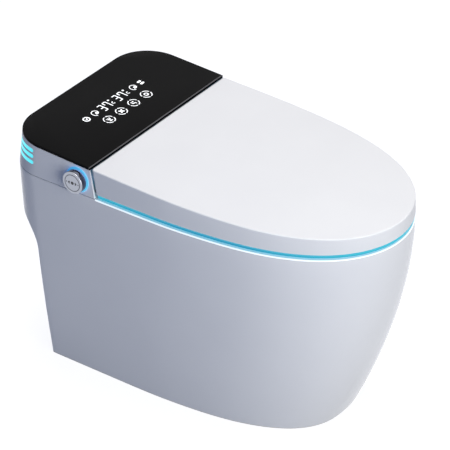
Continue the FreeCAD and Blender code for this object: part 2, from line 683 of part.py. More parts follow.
def rear_cover(bars):
    """Moulded shell with cheeks, a top under the glass, the hood, and openings for what comes through."""
    wide = RIM_HALF_WIDTH + OVERRUN
    outside = unit_solid(0, HOOD_FRONT_Y).common(under_glass(GLASS_THICK, HOOD_FRONT_Y, wide, RIM_HEIGHT))
    outside = outside.cut(cheek_front(wide))
    cheek_x = RIM_HALF_WIDTH - CHEEK_THICK
    outside = outside.cut(block(-cheek_x, cheek_x, HOOD_FRONT_Y, FRONT_WALL_Y, RIM_HEIGHT, UNIT_TOP))
    hood = hood_block(0, FRONT_WALL_Y + OVERRUN)
    outside = fuse([outside, hood.common(block(-wide, wide, HOOD_FRONT_Y, REAR_Y, UNIT_BOTTOM, HOOD_TOP))])
    inside = unit_solid(COVER_WALL, FRONT_WALL_Y + COVER_WALL)
    inside = inside.common(under_glass(GLASS_THICK + COVER_TOP_THICK, FRONT_WALL_Y, wide, RIM_HEIGHT))
    window = block(DISPLAY_LEDGE - DISPLAY_HALF_WIDTH, DISPLAY_HALF_WIDTH - DISPLAY_LEDGE,
                   DISPLAY_FRONT_Y + DISPLAY_LEDGE, DISPLAY_REAR_Y - DISPLAY_LEDGE, HOOD_TOP, UNIT_TOP)
    plate_x = PLATE_HALF_WIDTH + CLEARANCE
    plate = block(-plate_x, plate_x, PLATE_FRONT_Y - CLEARANCE, FRONT_WALL_Y + OVERRUN, RIM_HEIGHT, PLATE_TOP)
    cutters = [inside, hood_block(HOOD_WALL, FRONT_WALL_Y + 2 * COVER_WALL), window, bars, plate]
    cutters.append(rod(KNOB_STEM_R + CLEARANCE, V(KNOB_WALL_X - OVERRUN, KNOB_Y, KNOB_Z),
                       V(KNOB_WALL_X + 2 * OVERRUN, KNOB_Y, KNOB_Z)))
    cutters.append(nozzle_place(rod(NOZZLE_R + 2 * CLEARANCE, V(0, -WAND_LENGTH, 0), V(0, WAND_LENGTH, 0))))
    cutters.append(block(DUCT_X - OUTLET_WIDTH / 2, DUCT_X + OUTLET_WIDTH / 2, HOOD_FRONT_Y - OVERRUN,
                         HOOD_FRONT_Y + 2 * HOOD_WALL, UNIT_BOTTOM - OVERRUN, OUTLET_BOTTOM + OUTLET_HEIGHT))
    rack_x = RACK_HALF_WIDTH + 2 * CLEARANCE
    rack_top = RACK_PITCH_RISE + ADDENDUM + 2 * CLEARANCE
    cutters.append(nozzle_place(block(-rack_x, rack_x, -WAND_LENGTH, WAND_LENGTH, 0, rack_top)))
    cutters.append(flap_rod(FLAP_PIN_R + RUN_FIT, HOOD_WALL + CLEARANCE))
    for place in cover_screw_places():
        cutters.append(rod(COVER_SCREW_R + CLEARANCE / 2, place, V(place.x, place.y, UNIT_TOP)))
    shell = outside
    for cutter in cutters:
        shell = shell.cut(cutter)
    return shell


def cover_screws():
    """Pan-head screws through the hood's top into the chassis posts."""
    screws = []
    for place in cover_screw_places():
        seat = V(place.x, place.y, HOOD_TOP)
        shank = rod(COVER_SCREW_R, seat - V(0, 0, COVER_SCREW_LENGTH), seat)
        head = rod(COVER_SCREW_HEAD_R, seat, seat + V(0, 0, COVER_SCREW_HEAD))
        screws.append(fuse([shank, head]))
    return Part.makeCompound(screws)


def glass_panel():
    """Sloping glass plate over the whole unit, with rounded edges."""
    wide = RIM_HALF_WIDTH + OVERRUN
    plate = unit_solid(0, GLASS_FRONT_Y).common(under_glass(0, GLASS_FRONT_Y, wide, RIM_HEIGHT))
    plate = plate.cut(under_glass(GLASS_THICK, GLASS_FRONT_Y - OVERRUN, wide + OVERRUN, RIM_HEIGHT - OVERRUN))
    top = max(plate.Faces, key=lambda face: face.CenterOfMass.z)
    return plate.makeFillet(GLASS_EDGE_R, top.Edges)


def display_board():
    """Circuit board that lies under the window in the cover's top."""
    depth = GLASS_THICK + COVER_TOP_THICK
    slab = under_glass(depth, DISPLAY_FRONT_Y - OVERRUN, DISPLAY_HALF_WIDTH, HOOD_TOP)
    slab = slab.cut(under_glass(depth + BOARD_THICK, HOOD_FRONT_Y, RIM_HALF_WIDTH, RIM_HEIGHT))
    return slab.common(block(-RIM_HALF_WIDTH, RIM_HALF_WIDTH, DISPLAY_FRONT_Y, DISPLAY_REAR_Y,
                             HOOD_TOP, UNIT_TOP))


# Lid and seat
def lid_z(y, depth):
    """Height of a plane parallel to the lid's sloping top, at a depth below it."""
    return RIM_HEIGHT + LID_REAR_RISE - LID_SLOPE * (LID_REAR_Y - y) - depth


def under_lid_top(depth):
    """Everything below the sloping plane at one depth under the lid's top."""
    front_y = LID_TIP_Y - OVERRUN
    back_y = NOSE_Y + OVERRUN
    points = [(front_y, RIM_HEIGHT), (back_y, RIM_HEIGHT), (back_y, lid_z(back_y, depth))]
    return side_profile(points + [(front_y, lid_z(front_y, depth))], -RIM_HALF_WIDTH, RIM_HALF_WIDTH)


def lid_loft(inset, rear_reach):
    """The lid's drafted outside, or its inside at one wall's distance with an open rear."""
    cheek_y = GLASS_FRONT_Y - CHEEK_SLANT * (GLASS_FRONT_RISE - LID_LIFT) / GLASS_FRONT_RISE
    low_rear_y = cheek_y - LID_GAP + rear_reach
    slant = CHEEK_SLANT / GLASS_FRONT_RISE
    high_rear_y = LID_REAR_Y + slant * (LID_LIFT + LID_LOFT_HEIGHT - LID_REAR_RISE) + rear_reach
    low_z = LID_BOTTOM - inset
    high_z = LID_BOTTOM + LID_LOFT_HEIGHT
    low = lid_plan(LID_HALF_WIDTH - inset, LID_TIP_Y + inset, low_rear_y, low_z)
    high = lid_plan(LID_HALF_WIDTH - LID_DRAFT - inset, LID_TIP_Y + LID_DRAFT + inset, high_rear_y, high_z)
    return loft([low, high])


def lid_plan(half_width, tip_y, rear_y, z):
    """The lid's plan: the body's nose, then flanks to small rear corners."""
    far_y = NOSE_Y + 2 * REAR_CORNER_R
    whole = nose_plan(half_width, tip_y, far_y, LID_CORNER_R, RIM_NOSE_POWERS, z)
    wide = RIM_HALF_WIDTH + OVERRUN
    limit = prism(rear_plan(half_width, -wide + tip_y, rear_y, LID_CORNER_R, z - OVERRUN), 2 * OVERRUN)
    return Part.Face(whole).common(limit).Faces[0].OuterWire


def hinge_rod(radius, x0, x1):
    """A cylinder on the hinge line."""
    return rod(radius, V(x0, HINGE_Y, HINGE_Z), V(x1, HINGE_Y, HINGE_Z))


def lid_shell():
    outside = lid_loft(0, 0).common(under_lid_top(0))
    top = max(outside.Faces, key=lambda face: face.CenterOfMass.z)
    outside = outside.makeFillet(LID_EDGE_R, top.Edges)
    shell = outside.cut(lid_loft(LID_WALL, NOSE_Y).common(under_lid_top(LID_TOP_THICK)))
    shell = shell.cut(hinge_rod(EYE_GROOVE_R, DAMPER_X - HINGE_SIDE_GAP, LUG_X - HINGE_SIDE_GAP / 2))
    shell = shell.cut(hinge_rod(EYE_GROOVE_R, HINGE_SIDE_GAP / 2 - LUG_X, HINGE_SIDE_GAP - DAMPER_X))
    lug = fuse([hinge_rod(EYE_R, LUG_X, LUG_X + ARM_WIDTH),
                block(LUG_X, LUG_X + ARM_WIDTH, HINGE_Y - EYE_R, HINGE_Y + EYE_R, HINGE_Z,
                      lid_z(HINGE_Y - EYE_R, LID_TOP_THICK / 2))])
    shell = fuse([shell, lug, mirrored(lug)])
    bore = hinge_rod(PIN_R + RUN_FIT, LUG_X - OVERRUN, LUG_X + ARM_WIDTH + HINGE_SIDE_GAP)
    return shell.cut(bore).cut(mirrored(bore))


def lid_bumpers():
    """Four soft feet under the lid that come down on the seat."""
    feet = []
    for side in (-1, 1):
        for ahead in LID_BUMPER_AHEADS:
            y = NOSE_Y - ahead
            foot = V(side * SEAT_MIDDLE_X, y, SEAT_TOP + CLEARANCE)
            head = V(side * SEAT_MIDDLE_X, y, lid_z(y - LID_BUMPER_R, LID_TOP_THICK))
            feet.append(rod(LID_BUMPER_R, foot, head))
    return Part.makeCompound(feet)


def seat_plan(inset, rear_y, bottom, height):
    half_width = SEAT_HALF_WIDTH - inset
    tip_y = LID_TIP_Y + SEAT_INSET + inset
    plan = nose_plan(half_width, tip_y, NOSE_Y + REAR_CORNER_R, LID_CORNER_R, RIM_NOSE_POWERS, bottom)
    limit = rear_plan(half_width, LID_TIP_Y - OVERRUN, rear_y, LID_CORNER_R, bottom - OVERRUN)
    return prism(plan, height).common(prism(limit, height + 2 * OVERRUN))


def seat_hole(margin, bottom, height):
    centre_y = NOSE_Y - SEAT_HOLE_AHEAD - SEAT_HOLE_HALF_LENGTH
    plan = oval(SEAT_HOLE_HALF_WIDTH + margin, SEAT_HOLE_HALF_LENGTH + margin, centre_y, bottom)
    return prism(plan, height)


def seat_arm():
    """Arm from the seat's rear up to its eye on the hinge line."""
    root_y = SEAT_REAR_Y - LID_CORNER_R
    low = SEAT_BOTTOM + SEAT_BASE_THICK
    points = [(root_y, low), (root_y, SEAT_TOP - SEAT_BASE_THICK), (HINGE_Y, HINGE_Z + EYE_R),
              (HINGE_Y, HINGE_Z - EYE_R)]
    bar = side_profile(points, ARM_X, ARM_X + ARM_WIDTH)
    return fuse([bar, hinge_rod(EYE_R, ARM_X, ARM_X + ARM_WIDTH)])


def seat_ring():
    """Seat top: a rounded ring with two hinge arms."""
    bottom = SEAT_BOTTOM + SEAT_BASE_THICK
    height = SEAT_THICK - SEAT_BASE_THICK
    hole = seat_hole(0, bottom - OVERRUN, height + 2 * OVERRUN)
    ring_solid = seat_plan(0, SEAT_REAR_Y, bottom, height).cut(hole)
    ring_solid = ring_solid.makeFillet(SEAT_EDGE_R, level_edges(ring_solid, SEAT_TOP))
    arm = seat_arm()
    ring_solid = fuse([ring_solid, arm, mirrored(arm)])
    bore = hinge_rod(PIN_R + RUN_FIT, ARM_X - OVERRUN / 2, ARM_X + ARM_WIDTH + OVERRUN / 2)
    return ring_solid.cut(bore).cut(mirrored(bore))


def seat_base():
    """Closing plate under the seat top."""
    plate = seat_plan(0, SEAT_REAR_Y, SEAT_BOTTOM, SEAT_BASE_THICK)
    return plate.cut(seat_hole(0, SEAT_BOTTOM - OVERRUN, SEAT_BASE_THICK + 2 * OVERRUN))


def seat_light_guide():
    """Light guide under the seat's edge: flush below the lid, open at the rear."""
    bottom = SEAT_BOTTOM - STRIP_HEIGHT
    inset = STRIP_INSET - SEAT_INSET
    rear_y = NOSE_Y - CHEEK_SLANT - LID_GAP
    outer = seat_plan(inset, rear_y, bottom, STRIP_HEIGHT)
    inner = seat_plan(inset + STRIP_WIDTH, REAR_Y, bottom - OVERRUN, STRIP_HEIGHT + 2 * OVERRUN)
    return outer.cut(inner)


def seat_bumpers():
    feet = []
    for side in (-1, 1):
        for ahead in SEAT_BUMPER_AHEADS:
            x = side * SEAT_MIDDLE_X
            y = NOSE_Y - ahead
            feet.append(rod(SEAT_BUMPER_R, V(x, y, RIM_HEIGHT + CLEARANCE / 2), V(x, y, SEAT_BOTTOM)))
    return Part.makeCompound(feet)


# Hinge
def hinge_brackets():
    """Left and right posts on the chassis plate that carry the hinge pins."""
    points = [(HINGE_Y - POST_REACH_FRONT, PLATE_TOP), (HINGE_Y + POST_REACH_BACK, PLATE_TOP),
              (HINGE_Y + POST_REACH_BACK, HINGE_Z), (HINGE_Y - POST_REACH_BACK, HINGE_Z)]
    post = side_profile(points, POST_X, POST_X + POST_WIDTH)
    foot_y = HINGE_Y - POST_REACH_FRONT - POST_FOOT_LENGTH
    foot = block(POST_X, POST_X + POST_WIDTH, foot_y, HINGE_Y, PLATE_TOP, PLATE_TOP + POST_FOOT_THICK)
    bracket = fuse([post, foot, hinge_rod(EYE_R, POST_X, POST_X + POST_WIDTH)])
    bracket = bracket.cut(hinge_rod(PIN_R, POST_X - OVERRUN, POST_X + POST_WIDTH + OVERRUN))
    return Part.makeCompound([bracket, mirrored(bracket)])


def hinge_pins():
    """Pins fixed in the posts, through the seat's arms and the lid's lugs."""
    pin = hinge_rod(PIN_R, POST_X, LUG_X + ARM_WIDTH)
    return Part.makeCompound([pin, mirrored(pin)])


def damper(side):
    """Slow-closing damper on the inner side of one post, with a tab that keeps it from turning."""
    barrel = hinge_rod(DAMPER_R, side * DAMPER_X, side * POST_X)
    x0, x1 = sorted((side * DAMPER_X, side * POST_X))
    tab = block(x0, x1, HINGE_Y - POST_REACH_BACK, HINGE_Y + POST_REACH_BACK, HINGE_Z - DAMPER_TAB, HINGE_Z)
    return fuse([barrel, tab])


# Chassis
def chassis_bolt_places():
    return [V(-BOLT_X, BOLT_Y, PLATE_TOP), V(BOLT_X, BOLT_Y, PLATE_TOP)]


def flush_line(radius, front_y, rear_y):
    """A cylinder on the line from the flush pump to the bowl."""
    return rod(radius, V(0, front_y, FLUSH_Z), V(0, rear_y, FLUSH_Z))


def drop_line(x, y, radius, top_z, bottom_z):
    """A cylinder that hangs down from one height to another."""
    return rod(radius, V(x, y, top_z), V(x, y, bottom_z))


def wall_passages():
    """Clear ways through chassis and ceramic for bolts, flush tube, inlet, gland and nozzle."""
    holes = [drop_line(place.x, place.y, BOLT_R + CLEARANCE, PLATE_TOP + OVERRUN, RIM_HEIGHT - 2 * DECK_THICK)
             for place in chassis_bolt_places()]
    holes.append(flush_line(FLUSH_R + CLEARANCE, BOWL_REAR_Y - 2 * BOWL_WALL, POCKET_FRONT_Y + 2 * TUB_GAP))
    low_z = STEP_SHELF_HEIGHT - STEP_R
    holes.append(drop_line(INLET_X, INLET_Y, INLET_BARREL_R + CLEARANCE, TUB_FLOOR + OVERRUN, low_z))
    holes.append(drop_line(GLAND_X, INLET_Y, GLAND_R + CLEARANCE, TUB_FLOOR + OVERRUN, low_z))
    guide_r = NOZZLE_R + CHANNEL_WALL + 2 * CLEARANCE
    holes.append(nozzle_place(rod(guide_r, V(0, 0, 0), V(0, CHANNEL_END, 0))))
    return holes


def chassis_plate():
    """Base plate on the ceramic deck, with a tub in the pocket and two posts for the cover's screws."""
    rear_y = REAR_Y - PLATE_MARGIN
    corner_r = REAR_CORNER_R - PLATE_MARGIN
    flange = prism(rear_plan(PLATE_HALF_WIDTH, FRONT_WALL_Y, rear_y, corner_r, RIM_HEIGHT), PLATE_THICK)
    front_x = RIM_HALF_WIDTH - PLATE_FRONT_MARGIN
    apron = block(-front_x, front_x, PLATE_FRONT_Y, FRONT_WALL_Y + OVERRUN, RIM_HEIGHT, PLATE_TOP)
    posts = [rod(COVER_SCREW_BOSS_R, place, V(place.x, place.y, HOOD_TOP - HOOD_WALL))
             for place in cover_screw_places()]
    body = fuse([flange, apron, pocket(TUB_GAP, TUB_BOTTOM, PLATE_TOP)] + posts)
    cutters = [pocket(TUB_GAP + TUB_WALL, TUB_FLOOR, PLATE_TOP + OVERRUN)] + wall_passages()
    for place in cover_screw_places():
        cutters.append(rod(COVER_SCREW_R, V(place.x, place.y, HOOD_TOP - COVER_SCREW_LENGTH),
                           V(place.x, place.y, HOOD_TOP)))
    for cutter in cutters:
        body = body.cut(cutter)
    return body


def chassis_bolts():
    """Bolts through plate and deck, each with its nut under the deck."""
    bolts = []
    for place in chassis_bolt_places():
        head = rod(BOLT_HEAD_R, place, place + V(0, 0, BOLT_HEAD))
        shank = rod(BOLT_R, place, place - V(0, 0, BOLT_LENGTH))
        nut_z = RIM_HEIGHT - DECK_THICK
        nut = rod(BOLT_NUT_R, V(place.x, place.y, nut_z), V(place.x, place.y, nut_z - BOLT_NUT))
        bolts.append(fuse([head, shank, nut]))
    return Part.makeCompound(bolts)


def equipment_tray():
    """Slotted shelf over the tub, on the plate's flange."""
    tray = pocket(0, PLATE_TOP, TRAY_TOP)
    first_y = PUMP_Y - TRAY_SLOT_PITCH * (TRAY_SLOT_COUNT - 1) / 2
    for index in range(TRAY_SLOT_COUNT):
        y = first_y + TRAY_SLOT_PITCH * index
        tray = tray.cut(block(-TRAY_SLOT_LENGTH / 2, TRAY_SLOT_LENGTH / 2, y - TRAY_SLOT_WIDTH / 2,
                              y + TRAY_SLOT_WIDTH / 2, PLATE_TOP - OVERRUN, TRAY_TOP + OVERRUN))
    return tray


# Knob
def knob_rod(radius, x0, x1):
    """A cylinder on the knob's axis."""
    return rod(radius, V(x0, KNOB_Y, KNOB_Z), V(x1, KNOB_Y, KNOB_Z))


def knob_cap():
    """Turned cap with a broken front edge, a ring groove and a socket for the stem."""
    back_x = KNOB_FACE_X + KNOB_LENGTH
    cap = knob_rod(KNOB_R, KNOB_FACE_X, back_x)
    rim = [edge for edge in cap.Edges if edge.BoundBox.XMax - KNOB_FACE_X < KNOB_GROOVE]
    cap = cap.makeFillet(KNOB_EDGE_R, rim)
    groove = knob_rod(KNOB_GROOVE_R + KNOB_GROOVE, KNOB_FACE_X - OVERRUN, KNOB_FACE_X + KNOB_GROOVE)
    groove = groove.cut(knob_rod(KNOB_GROOVE_R, KNOB_FACE_X - 2 * OVERRUN, back_x))
    return cap.cut(groove).cut(knob_rod(KNOB_STEM_R, back_x - KNOB_SOCKET, back_x + OVERRUN))


def knob_stem():
    return knob_rod(KNOB_STEM_R, KNOB_FACE_X + KNOB_LENGTH - KNOB_SOCKET, PLUNGER_END_X)


def knob_plunger():
    """Sleeve round the stem that slides in the encoder."""
    sleeve = knob_rod(KNOB_PLUNGER_R, PLUNGER_X, PLUNGER_END_X)
    return sleeve.cut(knob_rod(KNOB_STEM_R + RUN_FIT, PLUNGER_X - OVERRUN, PLUNGER_END_X + OVERRUN))


def knob_encoder():
    """Switch block on the tray, bored for the plunger and its travel."""
    body = block(ENCODER_X, ENCODER_X + ENCODER_LENGTH,
                 KNOB_Y - ENCODER_HALF_WIDTH, KNOB_Y + ENCODER_HALF_WIDTH,
                 TRAY_TOP, KNOB_Z + ENCODER_HALF_WIDTH)
    bore_end = PLUNGER_END_X + KNOB_TRAVEL + 2 * CLEARANCE
    return body.cut(knob_rod(KNOB_PLUNGER_R + RUN_FIT, ENCODER_X - OVERRUN, bore_end))


def knob_halo_ring():
    """Thin light ring on the cover's side, round the foot of the knob."""
    skin = unit_solid(-HALO_PROUD, NOSE_Y).cut(unit_solid(0, NOSE_Y - OVERRUN))
    band = knob_rod(HALO_R, KNOB_FACE_X, ENCODER_X).cut(knob_rod(HALO_R - HALO_WIDTH, KNOB_FACE_X, ENCODER_X))
    return skin.common(band)


# Spray nozzle, drawn along the wand with its front end at zero
def nozzle_tip():
    tip = rod(NOZZLE_R, V(0, 0, 0), V(0, NOZZLE_TIP_LENGTH, 0))
    front = [edge for edge in tip.Edges if edge.BoundBox.YMax < NOZZLE_TIP_EDGE_R]
    tip = tip.makeFillet(NOZZLE_TIP_EDGE_R, front)
    for y in NOZZLE_JET_PLACES:
        tip = tip.cut(rod(NOZZLE_JET_R, V(0, y, NOZZLE_R / 2), V(0, y, 2 * NOZZLE_R)))
    return nozzle_place(tip)


def nozzle_wand():
    """Round wand with a toothed rack along its top."""
    wand_end = NOZZLE_TIP_LENGTH + WAND_LENGTH
    wand = rod(NOZZLE_R, V(0, NOZZLE_TIP_LENGTH, 0), V(0, wand_end, 0))
    pitch = math.pi * GEAR_MODULE
    lean = math.tan(math.radians(PRESSURE_ANGLE))
    half_tooth = (pitch / 2 - BACKLASH) / 2
    top_z = RACK_PITCH_RISE + ADDENDUM
    root_z = RACK_PITCH_RISE - DEDENDUM
    first = math.ceil((NOZZLE_TIP_LENGTH - PINION_PLACE) / pitch + 1)
    last = math.floor((wand_end - PINION_PLACE) / pitch - 1)
    points = [(NOZZLE_TIP_LENGTH, 0), (NOZZLE_TIP_LENGTH, root_z)]
    for index in range(first, last):
        middle = PINION_PLACE + pitch * index + pitch / 2
        foot = half_tooth + DEDENDUM * lean
        crest = half_tooth - ADDENDUM * lean
        points += [(middle - foot, root_z), (middle - crest, top_z),
                   (middle + crest, top_z), (middle + foot, root_z)]
    points += [(wand_end, root_z), (wand_end, 0)]
    rack = side_profile(points, -RACK_HALF_WIDTH, RACK_HALF_WIDTH)
    return nozzle_place(fuse([wand, rack]))


def tooth_side(side, centre_angle):
    """Points of one involute flank from the root circle to the tip, as (y, z) about the pinion's centre."""
    base_r = PINION_R * math.cos(math.radians(PRESSURE_ANGLE))
    tip_r = PINION_R + ADDENDUM
    half_pitch_angle = (math.pi * GEAR_MODULE / 2 - BACKLASH) / 2 / PINION_R

    def involute(radius):
        angle = math.acos(base_r / radius)
        return math.tan(angle) - angle

    points = []
    for radius in (base_r, (base_r + tip_r) / 2, tip_r):
        half_angle = half_pitch_angle + involute(PINION_R) - involute(radius)
        angle = centre_angle + side * half_angle
        points.append(V(0, radius * math.cos(angle), radius * math.sin(angle)))
    root = points[0] * ((PINION_R - DEDENDUM) / base_r)
    return [root] + points


def nozzle_pinion():
    """Involute pinion over the rack, with a bore for the motor's shaft."""
    edges = []
    corners = []
    for tooth in range(PINION_TEETH):
        angle = -math.pi / 2 + 2 * math.pi * tooth / PINION_TEETH
        right = tooth_side(-1, angle)
        left = tooth_side(1, angle)
        for flank in (right, left):
            curve = Part.BSplineCurve()
            curve.interpolate(flank[1:])
            edges += [Part.makeLine(flank[0], flank[1]), curve.toShape()]
        edges.append(Part.makeLine(right[-1], left[-1]))
        corners.append((right[0], left[0]))
    for this, following in zip(corners, corners[1:] + corners[:1]):
        edges.append(Part.makeLine(this[1], following[0]))
    wire = Part.Wire(Part.__sortEdges__(edges))
    gear = Part.Face(wire).extrude(V(PINION_WIDTH, 0, 0)).translated(V(-PINION_WIDTH / 2, 0, 0))
    bore = rod(MOTOR_SHAFT_R + RUN_FIT, V(-PINION_WIDTH, 0, 0), V(PINION_WIDTH, 0, 0))
    return nozzle_place(gear.cut(bore).translated(V(0, PINION_PLACE, PINION_RISE)))


def nozzle_motor():
    """Small gear motor beside the pinion, on a foot on the chassis plate."""
    centre = nozzle_place(Part.Vertex(V(0, PINION_PLACE, PINION_RISE))).Point
    face_x = NOZZLE_X - PINION_WIDTH / 2 - MOTOR_GAP
    can = rod(MOTOR_R, V(face_x - MOTOR_LENGTH, centre.y, centre.z), V(face_x, centre.y, centre.z))
    shaft_end = V(NOZZLE_X + PINION_WIDTH / 2, centre.y, centre.z)
    shaft = rod(MOTOR_SHAFT_R, V(face_x, centre.y, centre.z), shaft_end)
    foot = block(face_x - MOTOR_LENGTH, face_x - MOTOR_R,
                 centre.y - MOTOR_FOOT_HALF, centre.y + MOTOR_FOOT_HALF, PLATE_TOP, centre.z)
    return fuse([can, shaft, foot])


def nozzle_guide():
    """Open channel that carries the wand, on a leg on the chassis plate."""
    clear_r = NOZZLE_R + CLEARANCE
    channel = rod(clear_r + CHANNEL_WALL, V(0, CHANNEL_START, 0), V(0, CHANNEL_END, 0))
    wide = 2 * clear_r
    channel = channel.cut(block(-wide, wide, 0, 2 * CHANNEL_END, -CHANNEL_RIM_DROP, wide))
    leg_y = FRONT_WALL_Y - 2 * CHANNEL_LEG
    axis_z = NOZZLE_FRONT_Z + NOZZLE_SLOPE * (leg_y - NOZZLE_FRONT_Y)
    leg = block(NOZZLE_X - CHANNEL_LEG / 2, NOZZLE_X + CHANNEL_LEG / 2, leg_y, leg_y + CHANNEL_LEG, PLATE_TOP,
                axis_z - NOZZLE_R)
    whole = fuse([nozzle_place(channel), leg])
    return whole.cut(nozzle_place(rod(clear_r, V(0, 0, 0), V(0, 2 * CHANNEL_END, 0))))


# Warm air
def blower_housing():
    """Snail-shaped casing with an eye on top, an outlet to the front and the wheel's shaft."""
    base = V(BLOWER_X, BLOWER_Y, TRAY_TOP)
    up = V(0, 0, BLOWER_HEIGHT)
    wall = V(0, 0, BLOWER_WALL)
    outlet_z = TRAY_TOP + (BLOWER_HEIGHT - DUCT_HEIGHT) / 2
    x0 = BLOWER_X - BLOWER_R
    outer = block(x0, x0 + DUCT_WIDTH, DUCT_REAR_Y, BLOWER_Y, outlet_z, outlet_z + DUCT_HEIGHT)
    inner = block(x0 + BLOWER_WALL, x0 + DUCT_WIDTH - BLOWER_WALL, DUCT_REAR_Y - OVERRUN, BLOWER_Y,
                  outlet_z + BLOWER_WALL, outlet_z + DUCT_HEIGHT - BLOWER_WALL)
    casing = fuse([rod(BLOWER_R, base, base + up), outer])
    casing = casing.cut(rod(BLOWER_R - BLOWER_WALL, base + wall, base + up - wall)).cut(inner)
    casing = casing.cut(rod(BLOWER_EYE_R, base + up / 2, base + up * 2))
    return fuse([casing, rod(IMPELLER_SHAFT_R, base, base + wall * 2 + V(0, 0, IMPELLER_HEIGHT))])


def blower_impeller():
    """Drum wheel: hub and disc, a ring of upright blades, and a top ring."""
    low = V(BLOWER_X, BLOWER_Y, TRAY_TOP + 2 * BLOWER_WALL)
    rise = V(0, 0, IMPELLER_DISC)
    high = low + V(0, 0, IMPELLER_HEIGHT)
    parts = [rod(IMPELLER_R, low, low + rise), rod(IMPELLER_HUB_R, low, low + V(0, 0, IMPELLER_HEIGHT / 2))]
    parts.append(ring(IMPELLER_R, IMPELLER_R - IMPELLER_BLADE_DEPTH, high - rise, high))
    half = IMPELLER_DISC / 2
    inner = IMPELLER_R - IMPELLER_BLADE_DEPTH + half
    blade = block(inner, IMPELLER_R - half, -half, half, half, IMPELLER_HEIGHT - half)
    for index in range(IMPELLER_BLADES):
        turned = blade.rotated(V(0, 0, 0), V(0, 0, 1), 360 * index / IMPELLER_BLADES)
        parts.append(turned.translated(low))
    return fuse(parts).cut(rod(IMPELLER_SHAFT_R + RUN_FIT, low - rise, high + rise))


def level_rectangle(y, x0, x1, z0, z1):
    corners = [V(x0, y, z0), V(x1, y, z0), V(x1, y, z1), V(x0, y, z1)]
    return Part.makePolygon(corners + corners[:1])


def duct_loft(inset):
    """The duct's outside, or its inside, from the blower's outlet down to the slot in the hood."""
    x0 = BLOWER_X - BLOWER_R
    z0 = TRAY_TOP + (BLOWER_HEIGHT - DUCT_HEIGHT) / 2
    rear = level_rectangle(DUCT_REAR_Y, x0 + inset, x0 + DUCT_WIDTH - inset, z0 + inset,
                           z0 + DUCT_HEIGHT - inset)
    half = OUTLET_WIDTH / 2
    front_y = HOOD_FRONT_Y + HOOD_WALL + CLEARANCE
    front = level_rectangle(front_y, DUCT_X - half + inset, DUCT_X + half - inset, OUTLET_BOTTOM + inset,
                            OUTLET_BOTTOM + OUTLET_HEIGHT - inset)
    return Part.makeLoft([rear, front], True, True)


def dryer_duct():
    return duct_loft(0).cut(duct_loft(DUCT_WALL))


def flap_rod(radius, reach):
    """A cylinder on the flap's hinge line, past both ends of the outlet by one reach."""
    half = OUTLET_WIDTH / 2 + reach
    return rod(radius, V(DUCT_X - half, FLAP_Y, FLAP_Z), V(DUCT_X + half, FLAP_Y, FLAP_Z))


def dryer_flap():
    """Flap in the hood's slot, hung from pins in the hood's wall."""
    half = OUTLET_WIDTH / 2 - CLEARANCE
    plate = block(DUCT_X - half, DUCT_X + half, FLAP_Y - FLAP_THICK / 2, FLAP_Y + FLAP_THICK / 2,
                  OUTLET_BOTTOM, FLAP_Z + FLAP_THICK / 2)
    return fuse([plate, flap_rod(FLAP_PIN_R, HOOD_WALL)])


# Water
def inlet_connector():
    """Threaded spigot that hangs under the shelf, with its flange in the tub."""
    low_z = STEP_SHELF_HEIGHT - INLET_REACH
    flange = drop_line(INLET_X, INLET_Y, INLET_FLANGE_R, TUB_FLOOR + INLET_FLANGE, TUB_FLOOR)
    barrel = drop_line(INLET_X, INLET_Y, INLET_BARREL_R, TUB_FLOOR, low_z + INLET_THREAD_LENGTH)
    spigot = drop_line(INLET_X, INLET_Y, INLET_THREAD_R, low_z + INLET_THREAD_LENGTH, low_z)
    bore = drop_line(INLET_X, INLET_Y, INLET_BORE_R, TUB_FLOOR + 2 * INLET_FLANGE, low_z - OVERRUN)
    return fuse([flange, barrel, spigot]).cut(bore)


def inlet_valve():
    """Valve block on the inlet's flange, with its magnet coil on top."""
    base_z = TUB_FLOOR + INLET_FLANGE
    body = block(INLET_X - VALVE_HALF, INLET_X + VALVE_HALF, INLET_Y - VALVE_HALF, INLET_Y + VALVE_HALF,
                 base_z, base_z + VALVE_HEIGHT)
    coil = drop_line(INLET_X, INLET_Y, COIL_R, base_z + VALVE_HEIGHT + COIL_HEIGHT, base_z + VALVE_HEIGHT)
    return fuse([body, coil])


def water_heater():
    """Round flow heater with end caps, on two saddles."""
    y = NOSE_Y + HEATER_BACK
    z = TUB_FLOOR + HEATER_SADDLE + HEATER_CAP_R
    x0 = HEATER_X - HEATER_LENGTH / 2
    x1 = HEATER_X + HEATER_LENGTH / 2
    parts = [rod(HEATER_R, V(x0, y, z), V(x1, y, z))]
    for start in (x0, x1 - HEATER_CAP):
        parts.append(rod(HEATER_CAP_R, V(start, y, z), V(start + HEATER_CAP, y, z)))
        parts.append(block(start, start + HEATER_CAP, y - HEATER_SADDLE, y + HEATER_SADDLE, TUB_FLOOR, z))
    return fuse(parts)


def water_tank():
    """Buffer tank with rounded edges and two ports on top."""
    y = NOSE_Y + TANK_BACK
    tank = block(TANK_X - TANK_HALF_WIDTH, TANK_X + TANK_HALF_WIDTH,
                 y - TANK_HALF_LENGTH, y + TANK_HALF_LENGTH, TUB_FLOOR, TUB_FLOOR + TANK_HEIGHT)
    upright = [edge for edge in tank.Edges if edge.BoundBox.ZLength > TANK_EDGE_R]
    tank = tank.makeFillet(TANK_EDGE_R, upright)
    top = TUB_FLOOR + TANK_HEIGHT
    ports = [drop_line(TANK_X + side * TANK_HALF_WIDTH / 2, y, TANK_PORT_R, top + TANK_PORT, top)
             for side in (-1, 1)]
    return fuse([tank] + ports)


